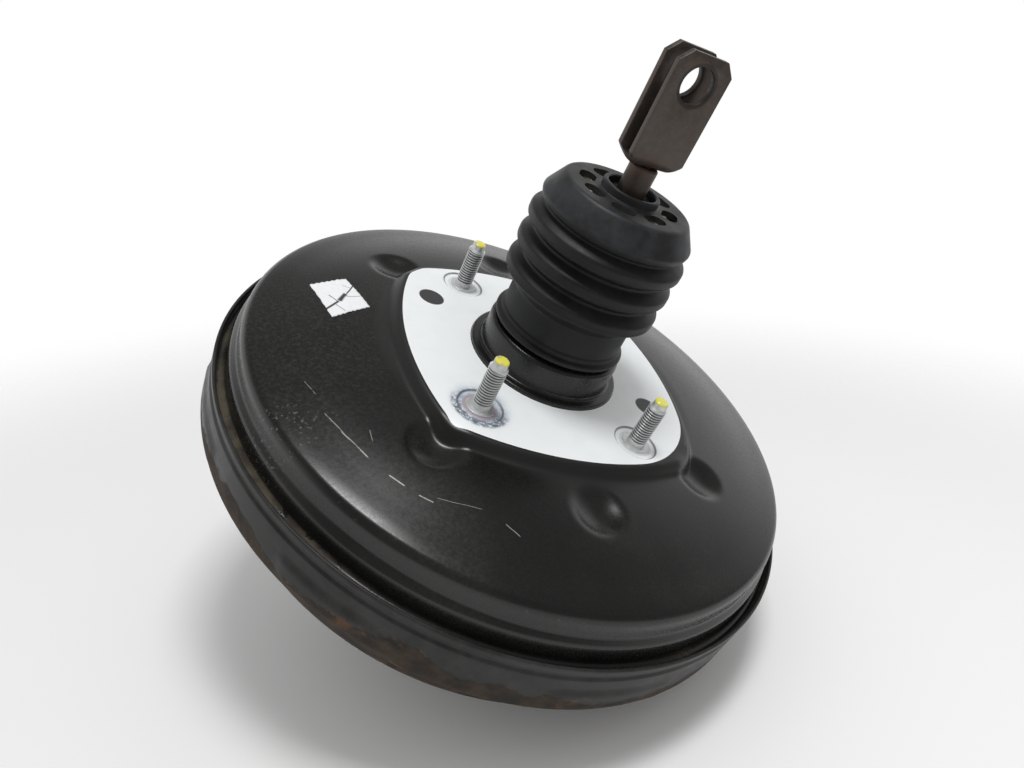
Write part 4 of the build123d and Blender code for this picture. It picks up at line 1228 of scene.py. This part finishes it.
class BOOSTER_OT_dust_boot(bpy.types.Operator):
    """Build the rubber boot, its cap with air holes, and the lip that follows the rod"""
    bl_idname = "booster.dust_boot"
    bl_label = "Dust boot"

    def execute(self, context):
        boot = millimetres(settings("boot"))
        bm = lathe(boot_outline(boot), 144, longest=lambda r, z: 3.0)
        piece = make_piece("rubber_boot", bm, [finish_named("boot_rubber")])
        out = Matrix.Translation((HOLE_CIRCLE_R, 0, 0))
        turns = [(i + 0.5) * FULL_TURN / HOLE_COUNT for i in range(HOLE_COUNT)]
        hole = slot_bm(boot["hole_length"], boot["hole_width"], BOOT_TOP - 3.4, BOOT_TOP + 1.0)
        holes = several(hole, [Matrix.Rotation(turn, 4, "Z") @ out for turn in turns])
        cut_with(piece, holes)
        mark_sharp(piece, 40)
        round_edges(piece, 0.35, 2, 60)
        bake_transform(piece)
        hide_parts("dust_boot")
        lip = lathe(
            [
                (RING_INNER_R - 0.05, BOOT_TOP + 0.4, 0.2), (RING_INNER_R - 0.05, BOOT_TOP - 1.2, 0.5),
                (6.1, BOOT_TOP - 4.4, 0.3), (6.1, BOOT_TOP - 2.8, 0.4), (8.6, BOOT_TOP - 0.4, 1.0),
            ],
            96,
        )
        piece = make_piece("boot_lip", lip, [finish_named("boot_rubber")])
        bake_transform(piece)
        return {"FINISHED"}


# ---------------------------------------------------------------- push rod and clevis
BALL_R, BALL_Z = 6.5, 8.0
SHANK_R = 4.2
SPRING_COLLAR_R, SPRING_COLLAR = 11.0, 50.0
RIVET_R, RIVET_HEIGHT = 2.85, 3.3
CLEVIS_BEND = 4.4
CORNER_CUT = 4.6


class BOOSTER_OT_push_rod(bpy.types.Operator):
    """Build the push rod from its ball to the riveted end in the clevis"""
    bl_idname = "booster.push_rod"
    bl_label = "Push rod"

    def execute(self, context):
        rod = millimetres(settings("rod"))["rod_radius"]
        base = foot_of("clevis")
        wide = BALL_R * 1.02
        bm = lathe(
            [
                (0, BALL_Z - BALL_R, 0), (BALL_R * 0.42, BALL_Z - BALL_R, 1.6), (wide, BALL_Z - 2.4, 3.0),
                (wide, BALL_Z + 2.4, 3.0), (SHANK_R, BALL_Z + BALL_R * 0.8, 0.8), (SHANK_R, 26.0, 1.0),
                (rod, 28.0, 0.8), (rod, SPRING_COLLAR, 0.8), (SPRING_COLLAR_R, SPRING_COLLAR, 0.4),
                (SPRING_COLLAR_R, SPRING_COLLAR + 2, 0.4), (rod, SPRING_COLLAR + 3, 0.8),
                (rod, base - 0.6, 0.4), (rod - 0.6, base, 0), (RIVET_R, base, 0),
                (RIVET_R, base + RIVET_HEIGHT, 0.7), (0, base + RIVET_HEIGHT, 0),
            ],
            64,
            longest=lambda r, z: 4.0,
        )
        piece = make_piece("push_rod", bm, [finish_named("rod_steel")])
        stands_for(piece, "input_rod", "zinc_steel", "input_rod")
        return {"FINISHED"}


class BOOSTER_OT_clevis(bpy.types.Operator):
    """Build the clevis: a strap bent into a U, with its corners cut off and the pin hole"""
    bl_idname = "booster.clevis"
    bl_label = "Clevis"

    def execute(self, context):
        rod = millimetres(settings("rod"))
        base, top = foot_of("clevis"), top_of("clevis")
        sheet, gap, width = rod["clevis_sheet"], rod["clevis_gap"], rod["clevis_width"]
        half = gap / 2 + sheet
        bm = bmesh.new()
        wire(
            bm,
            [
                (-half, top, 0), (-half, base, CLEVIS_BEND), (half, base, CLEVIS_BEND), (half, top, 0),
                (gap / 2, top, 0), (gap / 2, base + sheet, CLEVIS_BEND - sheet),
                (-gap / 2, base + sheet, CLEVIS_BEND - sheet), (-gap / 2, top, 0),
            ],
            arc_step=radians(12),
        )
        bmesh.ops.translate(bm, vec=(0, -width / 2, 0), verts=bm.verts)
        grown = bmesh.ops.extrude_edge_only(bm, edges=bm.edges[:])
        moved = [part for part in grown["geom"] if isinstance(part, bmesh.types.BMVert)]
        bmesh.ops.translate(bm, vec=(0, width, 0), verts=moved)
        bmesh.ops.holes_fill(bm, edges=bm.edges, sides=0)
        bmesh.ops.recalc_face_normals(bm, faces=bm.faces)
        for up in (1, -1):
            for side in (1, -1):
                end = top if up > 0 else base
                corner = (0, side * (width - CORNER_CUT) / 2, end - up * CORNER_CUT / 2)
                made = bmesh.ops.bisect_plane(
                    bm, geom=bm.verts[:] + bm.edges[:] + bm.faces[:], dist=0.0001,
                    plane_co=corner, plane_no=(0, side, up), clear_outer=True,
                )
                rim = [part for part in made["geom_cut"] if isinstance(part, bmesh.types.BMEdge)]
                bmesh.ops.holes_fill(bm, edges=rim, sides=0)
        bmesh.ops.recalc_face_normals(bm, faces=bm.faces)
        turn = Matrix.Rotation(atan2(PIN_AXIS.y, PIN_AXIS.x), 4, "Z")
        bmesh.ops.transform(bm, matrix=turn, verts=bm.verts)
        piece = make_piece("clevis_strap", bm, [finish_named("rod_steel")])
        hole = bmesh.new()
        bmesh.ops.create_cone(
            hole, cap_ends=True, segments=64, radius1=PIN_R, radius2=PIN_R, depth=4 * half,
            matrix=Matrix.Translation((0, 0, PIN_HEIGHT)) @ turn @ Matrix.Rotation(pi / 2, 4, "Y"),
        )
        cut_with(piece, hole)
        mark_sharp(piece, 30)
        round_edges(piece, 0.4, 3, 30)
        mark_sharp(piece, 40)
        stands_for(piece, "input_rod", "zinc_steel", "clevis")
        return {"FINISHED"}


# ---------------------------------------------------------------- filters, springs and diaphragm
DISC_INNER_R, DISC_R = 9.6, 19.3
FELT_R, FELT_SEAT, FELT_TOP = 22.2, 79.05, 79.9


class BOOSTER_OT_filters(bpy.types.Operator):
    """Build the felt and foam discs in the tail"""
    bl_idname = "booster.filters"
    bl_label = "Filters"

    def execute(self, context):
        for name, node, finish, slot in (
            ("felt_disc", "air_filter", "felt", "felt"), ("foam_disc", "silencer", "foam", "foam"),
        ):
            low, high = foot_of(node), top_of(node)
            corners = [(DISC_INNER_R, low, 0.8), (DISC_R, low, 1.0)]
            if name == "felt_disc":
                corners += [(DISC_R, FELT_SEAT, 0.3), (FELT_R, FELT_SEAT, 0.6), (FELT_R, FELT_TOP, 1.0),
                            (DISC_INNER_R, FELT_TOP, 0.8)]
                fluffy = FELT_TOP - 0.5
            else:
                corners += [(DISC_R, high, 1.4), (DISC_INNER_R, high, 1.4)]
                fluffy = high - 2
            bm = lathe(corners, 128, longest=lambda r, z: 1.0)
            for vert in bm.verts:
                if vert.co.z > fluffy:
                    vert.co.z -= 0.2 * (1 + sin(1.9 * vert.co.x + 2.3 * sin(1.3 * vert.co.y)))
            piece = make_piece(name, bm, [finish_named(finish)])
            stands_for(piece, "power_piston", slot, node)
        return {"FINISHED"}


def coil_bm(wire_d, turns, low, high, low_r, high_r, steps=28):
    """Helical spring, spun from a ring of wire, with closed ends."""
    bm = bmesh.new()
    bmesh.ops.create_circle(
        bm, cap_ends=False, radius=wire_d / 2, segments=12,
        matrix=Matrix.Translation((low_r, 0, low + wire_d / 2)) @ Matrix.Rotation(pi / 2, 4, "X"),
    )
    rise = high - low - wire_d
    bmesh.ops.spin(
        bm, geom=bm.verts[:] + bm.edges[:], cent=(0, 0, 0), axis=(0, 0, 1),
        dvec=(0, 0, rise / (turns * steps)), angle=turns * FULL_TURN, steps=turns * steps, use_merge=False,
    )
    ends = [edge for edge in bm.edges if edge.is_boundary]
    bmesh.ops.holes_fill(bm, edges=ends, sides=0)
    for vert in bm.verts:
        radius = hypot(vert.co.x, vert.co.y)
        grow = 1 + (high_r - low_r) * (vert.co.z - low) / ((high - low) * radius)
        vert.co.x *= grow
        vert.co.y *= grow
    bmesh.ops.recalc_face_normals(bm, faces=bm.faces)
    return bm


def blended(piece, node):
    """A finished piece stays where it was built, and its CAD node is hidden."""
    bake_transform(piece)
    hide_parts(node)


class BOOSTER_OT_springs(bpy.types.Operator):
    """Build the four coil springs"""
    bl_idname = "booster.springs"
    bl_label = "Springs"

    def execute(self, context):
        steel = finish_named("spring_steel")
        low, high = foot_of("return_spring"), top_of("return_spring")
        piece = make_piece("main_spring", coil_bm(3.8, 5, low, high, 29.4, 23.2), [steel])
        blended(piece, "return_spring")
        low, high = foot_of("rod_return_spring"), top_of("rod_return_spring")
        piece = make_piece("rod_spring", coil_bm(1.6, 5, low, high, 15.1, 10.2), [steel])
        blended(piece, "rod_return_spring")
        low, high = foot_of("poppet_spring"), top_of("poppet_spring")
        piece = make_piece("valve_spring", coil_bm(1.1, 4, low, high, 12.6, 12.6), [steel])
        stands_for(piece, "power_piston", "spring_steel", "poppet_spring")
        low, high = foot_of("check_valve_spring"), top_of("check_valve_spring")
        bm = coil_bm(0.6, 3, low, high, 3.6, 3.6)
        middle = sum(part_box("check_valve_spring"), Vector()) / 2 / MM
        bmesh.ops.translate(bm, vec=(middle.x, middle.y, 0), verts=bm.verts)
        piece = make_piece("disc_spring", bm, [steel])
        blended(piece, "check_valve_spring")
        return {"FINISHED"}


PLATE_FIT_R = 34.1
BEAD_INNER_R, BEAD_OUTER_R = 130.7, 136.2


class BOOSTER_OT_diaphragm(bpy.types.Operator):
    """Build the rubber diaphragm between the rim and the valve body"""
    bl_idname = "booster.diaphragm"
    bl_label = "Diaphragm"

    def execute(self, context):
        bead = foot_of("diaphragm")
        top = top_of("diaphragm")
        bm = lathe(
            [
                (PLATE_FIT_R, top, 0.5), (38.6, top, 0.8), (40.6, -10.9, 0.8), (48.0, -10.9, 12.0),
                (107.5, -17.9, 7.0), (114.6, -29.5, 4.0), (116.1, -40.5, 8.0), (120.6, -53.2, 6.0),
                (BEAD_INNER_R, -53.2, 0.6), (BEAD_INNER_R, SKIRT_END, 0.8), (BEAD_OUTER_R, SKIRT_END, 0.8),
                (BEAD_OUTER_R, bead, 1.2), (BEAD_INNER_R, bead, 1.2), (BEAD_INNER_R, -54.8, 0.6),
                (119.0, -54.8, 7.0), (114.5, -40.5, 6.0), (113.1, -32.0, 1.0), (113.1, -19.4, 6.0),
                (48.0, -12.5, 12.0), (PLATE_FIT_R, -12.5, 0),
            ],
            144,
        )
        piece = make_piece("rolling_diaphragm", bm, [finish_named("seal_rubber")])
        blended(piece, "diaphragm")
        return {"FINISHED"}


# ---------------------------------------------------------------- check valve
GROMMET_BORE_R, GROMMET_R = 6.62, 11.5
CASE_R, STUB_R, CASE_BORE_R = 8.0, 6.54, 3.0
DISC_ROOM_R, DISC_ROOM_TOP, DISC_ROOM_FOOT = 5.6, -101.6, -109.6
SPIGOT_R, SPIGOT_BORE_R, SPIGOT_REACH = 5.0, 3.0, 34.0
BARB_STARTS, BARB_LENGTH, BARB_ROOT_R = (14.0, 19.5, 25.0), 1.3, 4.65


class BOOSTER_OT_check_valve(bpy.types.Operator):
    """Build the check valve and its grommet on the front shell"""
    bl_idname = "booster.check_valve"
    bl_label = "Check valve"

    def execute(self, context):
        middle = sum(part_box("check_valve_grommet"), Vector()) / 2 / MM
        hose = MOUNTS["vacuum_hose"]
        direction = Vector(hose["axis"])
        elbow = hose["pos_m"][2] / MM
        turn = Matrix.Rotation(atan2(direction.y, direction.x), 4, "Z")
        place = Matrix.Translation((middle.x, middle.y, 0)) @ turn
        low, high = foot_of("check_valve_grommet"), top_of("check_valve_grommet")
        inside = CONE_END + SHEET
        bm = lathe(
            [
                (GROMMET_BORE_R, low, 0.4), (GROMMET_R, low, 0.9), (GROMMET_R, CONE_END - 0.02, 0.2),
                (9.1, CONE_END, 0), (9.1, inside, 0), (10.9, inside + 0.02, 0.2), (10.9, inside + 1.0, 0.6),
                (8.6, high, 0.6), (GROMMET_BORE_R, high, 0.4),
            ],
            72,
        )
        bmesh.ops.transform(bm, matrix=place, verts=bm.verts)
        piece = make_piece("rubber_grommet", bm, [finish_named("seal_rubber")])
        stands_for(piece, "housing", "black_rubber", "check_valve_grommet")
        foot = foot_of("check_valve_housing")
        stub = top_of("check_valve_housing")
        body = lathe(
            [
                (0, foot, 0), (CASE_R, foot, 1.5), (CASE_R, DISC_ROOM_FOOT, 1.0),
                (CASE_R + 1, DISC_ROOM_FOOT + 1, 0.5), (CASE_R + 1, low, 0.5), (STUB_R, low, 0),
                (STUB_R, stub, 0.8), (CASE_BORE_R, stub, 0.4), (CASE_BORE_R, DISC_ROOM_TOP, 0),
                (DISC_ROOM_R, DISC_ROOM_TOP, 0),
                (DISC_ROOM_R, DISC_ROOM_FOOT, 0), (CASE_BORE_R, DISC_ROOM_FOOT, 0), (CASE_BORE_R, elbow, 0),
                (0, elbow, 0),
            ],
            72,
        )
        barbs = [(0, 0, 0), (6.5, 0, 0), (6.5, 9.5, 0.3), (SPIGOT_R, 11.0, 0)]
        for start in BARB_STARTS:
            end = start + BARB_LENGTH
            barbs += [(BARB_ROOT_R, start, 0.2), (BARB_ROOT_R, end, 0.2), (SPIGOT_R, end, 0.15)]
        barbs += [
            (SPIGOT_R, SPIGOT_REACH - 3.0, 0.5), (4.2, SPIGOT_REACH, 0.3), (SPIGOT_BORE_R, SPIGOT_REACH, 0.3),
            (SPIGOT_BORE_R, SPIGOT_REACH - 12.0, 0), (0, SPIGOT_REACH - 12.0, 0),
        ]
        spigot = lathe(barbs, 48)
        sideways = Matrix.Translation((0, 0, elbow)) @ Matrix.Rotation(pi / 2, 4, "Y")
        bmesh.ops.transform(spigot, matrix=sideways, verts=spigot.verts)
        for name, bm in (("valve_case", body), ("hose_spigot", spigot)):
            bmesh.ops.transform(bm, matrix=place, verts=bm.verts)
            piece = make_piece(name, bm, [finish_named("black_plastic")])
            stands_for(piece, "housing", "black_plastic", "check_valve_housing")
        return {"FINISHED"}


# ---------------------------------------------------------------- pieces that stay as they are
KEPT_NODES = {
    "rear_backing_plate": "bare_steel", "front_backing_plate": "bare_steel", "neck_seal": "seal_rubber",
    "neck_guide": "nylon", "seal_retainer": "nylon", "diaphragm_plate": "bare_steel", "valve_body": "phenolic",
    "stop_key": "bare_steel", "reaction_disc": "seal_rubber", "output_rod": "bare_steel",
    "output_rod_cup": "bare_steel", "poppet_valve": "seal_rubber", "poppet_retainer": "bare_steel",
    "valve_plunger": "bare_steel", "check_valve_disc": "seal_rubber",
}


class BOOSTER_OT_kept_parts(bpy.types.Operator):
    """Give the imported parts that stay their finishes"""
    bl_idname = "booster.kept_parts"
    bl_label = "Inner parts"

    def execute(self, context):
        for node, finish in KEPT_NODES.items():
            mesh = frame["nodes"][node].data
            mesh.materials.clear()
            mesh.materials.append(finish_named(finish))
        return {"FINISHED"}


# ---------------------------------------------------------------- stage
CAMERA_PLACE = (-0.1257, -0.2748, 0.1731)
CAMERA_RIGHT = (0.9152, -0.1251, 0.3831)
CAMERA_DOWN = (0.229, -0.6208, -0.7497)
CAMERA_FORWARD = (0.3316, 0.7739, -0.5395)
CAMERA_PITCH = radians(18.6)
UNDER_OBJECT = (0, 0, -0.02)
FLOOR_R = 0.8
FADE_START, FADE_END = 300.0, 750.0
DIM_ROOM = 0.22
LAMP_AWAY = 0.95
LAMP_WIDTH = 0.26


def floor_finish():
    """Pale floor that is seen from above only and fades into the surroundings away from the object."""
    finish = Finish("floor", roughness=0.8, Specular_IOR_Level=0.1)
    finish.shader.inputs["Base Color"].default_value = (0.98, 0.98, 0.98, 1)
    tree = finish.tree
    fade = finish.step(finish.length(finish.place), FADE_START, FADE_END)
    side = tree.nodes.new("ShaderNodeNewGeometry")
    clear = tree.nodes.new("ShaderNodeBsdfTransparent")
    mix = tree.nodes.new("ShaderNodeMixShader")
    seen_through = finish.most(fade, side.outputs["Backfacing"])
    for output, socket in zip((seen_through, finish.shader.outputs[0], clear.outputs[0]), mix.inputs):
        tree.links.new(output, socket)
    tree.links.new(mix.outputs[0], tree.nodes["Material Output"].inputs["Surface"])
    return finish.material


def floor_sheet(matrix):
    """Round floor whose middle lies under the object."""
    bm = bmesh.new()
    bmesh.ops.create_circle(bm, cap_ends=True, radius=FLOOR_R, segments=96)
    mesh = bpy.data.meshes.new("floor")
    bm.to_mesh(mesh)
    bm.free()
    mesh.materials.append(floor_finish())
    sheet = bpy.data.objects.new("floor", mesh)
    bpy.context.scene.collection.objects.link(sheet)
    sheet.matrix_world = matrix
    sheet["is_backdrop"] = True


def surroundings(up, wall_side, fill):
    """World: white to the eye, an even fill on matt surfaces, a white wall in a dim room in reflections."""
    world = bpy.data.worlds.new("surroundings")
    world.use_nodes = True
    nodes = Nodes(world.node_tree)
    back = nodes.tree.nodes["Background"]
    back.inputs["Color"].default_value = (1, 1, 1, 1)
    place = nodes.tree.nodes.new("ShaderNodeTexCoord").outputs["Generated"]
    low = nodes.step(nodes.dot(place, up), 0.42, 0.74, 1.0, 0.0)
    wall = nodes.times(low, nodes.step(nodes.dot(place, wall_side), -0.35, 0.30))
    room = nodes.math("MULTIPLY_ADD", wall, 1.0 - DIM_ROOM, DIM_ROOM)
    path = nodes.tree.nodes.new("ShaderNodeLightPath").outputs
    lit = nodes.blend(path["Is Glossy Ray"], fill, room)
    seen = nodes.most(path["Is Camera Ray"], path["Is Transmission Ray"])
    nodes.link(nodes.blend(seen, lit, 1.0), back.inputs["Strength"])
    return world


def area_lamp(name, place, aim, width, power):
    """A square soft lamp aimed at a point."""
    data = bpy.data.lights.new(name, "AREA")
    data.size = width
    data.energy = power
    lamp = bpy.data.objects.new(name, data)
    bpy.context.scene.collection.objects.link(lamp)
    lamp.location = place
    lamp.rotation_mode = "QUATERNION"
    lamp.rotation_quaternion = (Vector(aim) - Vector(place)).to_track_quat("-Z", "Y")


class BOOSTER_OT_stage(bpy.types.Operator):
    """Set up the camera, the lamp, the pale floor and the surroundings"""
    bl_idname = "booster.stage"
    bl_label = "Stage"

    def execute(self, context):
        chosen = settings("stage")
        right, down, forward = Vector(CAMERA_RIGHT), Vector(CAMERA_DOWN), Vector(CAMERA_FORWARD)
        data = bpy.data.cameras.new("camera")
        data.lens = chosen.lens
        data.sensor_width = 36.0
        data.clip_start = 0.01
        camera = bpy.data.objects.new("camera", data)
        context.scene.collection.objects.link(camera)
        turn = Matrix((right, -down, -forward)).transposed()
        camera.matrix_world = Matrix.Translation(CAMERA_PLACE) @ turn.to_4x4()
        context.scene.camera = camera
        up = (-down * cos(CAMERA_PITCH) - forward * sin(CAMERA_PITCH)).normalized()
        lowest = min(
            (node.matrix_world @ vert.co).dot(up)
            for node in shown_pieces() for vert in node.data.vertices
        )
        level = up * (lowest - 0.001)
        ahead = (forward - up * forward.dot(up)).normalized()
        side = ahead.cross(up)
        aim = Vector(UNDER_OBJECT)
        middle = level + (aim - up * aim.dot(up))
        floor_sheet(Matrix.Translation(middle) @ Matrix((side, ahead, up)).transposed().to_4x4())
        toward = (Vector((0, 0, 1)) - side * 0.30 + ahead * 0.05).normalized()
        area_lamp("key_lamp", aim + toward * LAMP_AWAY, aim, LAMP_WIDTH, chosen.key)
        wall_side = (ahead * 0.9 - side * 0.5).normalized()
        context.scene.world = surroundings(up, wall_side, chosen.fill)
        context.scene.view_settings.view_transform = "Standard"
        return {"FINISHED"}


# ---------------------------------------------------------------- panel and registration
OPERATORS = (
    BOOSTER_OT_rear_shell,
    BOOSTER_OT_paper_patch,
    BOOSTER_OT_front_shell,
    BOOSTER_OT_studs,
    BOOSTER_OT_dust_boot,
    BOOSTER_OT_push_rod,
    BOOSTER_OT_clevis,
    BOOSTER_OT_filters,
    BOOSTER_OT_springs,
    BOOSTER_OT_diaphragm,
    BOOSTER_OT_check_valve,
    BOOSTER_OT_kept_parts,
    BOOSTER_OT_stage,
)


class BOOSTER_PT_panel(bpy.types.Panel):
    """Lists the booster's pieces in the sidebar"""
    bl_idname = "BOOSTER_PT_panel"
    bl_label = "Brake Booster"
    bl_space_type = "VIEW_3D"
    bl_region_type = "UI"
    bl_category = "Booster"

    def draw(self, context):
        for operator in OPERATORS:
            self.layout.operator(operator.bl_idname)


GROUPS = {
    "shell": BoosterShell,
    "boot": BoosterBoot,
    "rod": BoosterRod,
    "colours": BoosterColours,
    "stage": BoosterStage,
}


def register():
    for name, group in GROUPS.items():
        bpy.utils.register_class(group)
        setattr(bpy.types.Scene, f"booster_{name}", bpy.props.PointerProperty(type=group))
    for cls in (*OPERATORS, BOOSTER_PT_panel):
        bpy.utils.register_class(cls)


def unregister():
    for cls in (BOOSTER_PT_panel, *reversed(OPERATORS)):
        bpy.utils.unregister_class(cls)
    for name, group in GROUPS.items():
        delattr(bpy.types.Scene, f"booster_{name}")
        bpy.utils.unregister_class(group)


def main():
    """Build every piece in order."""
    register()
    for operator in OPERATORS:
        group, name = operator.bl_idname.split(".")
        getattr(getattr(bpy.ops, group), name)()


if __name__ == "__main__":
    main()
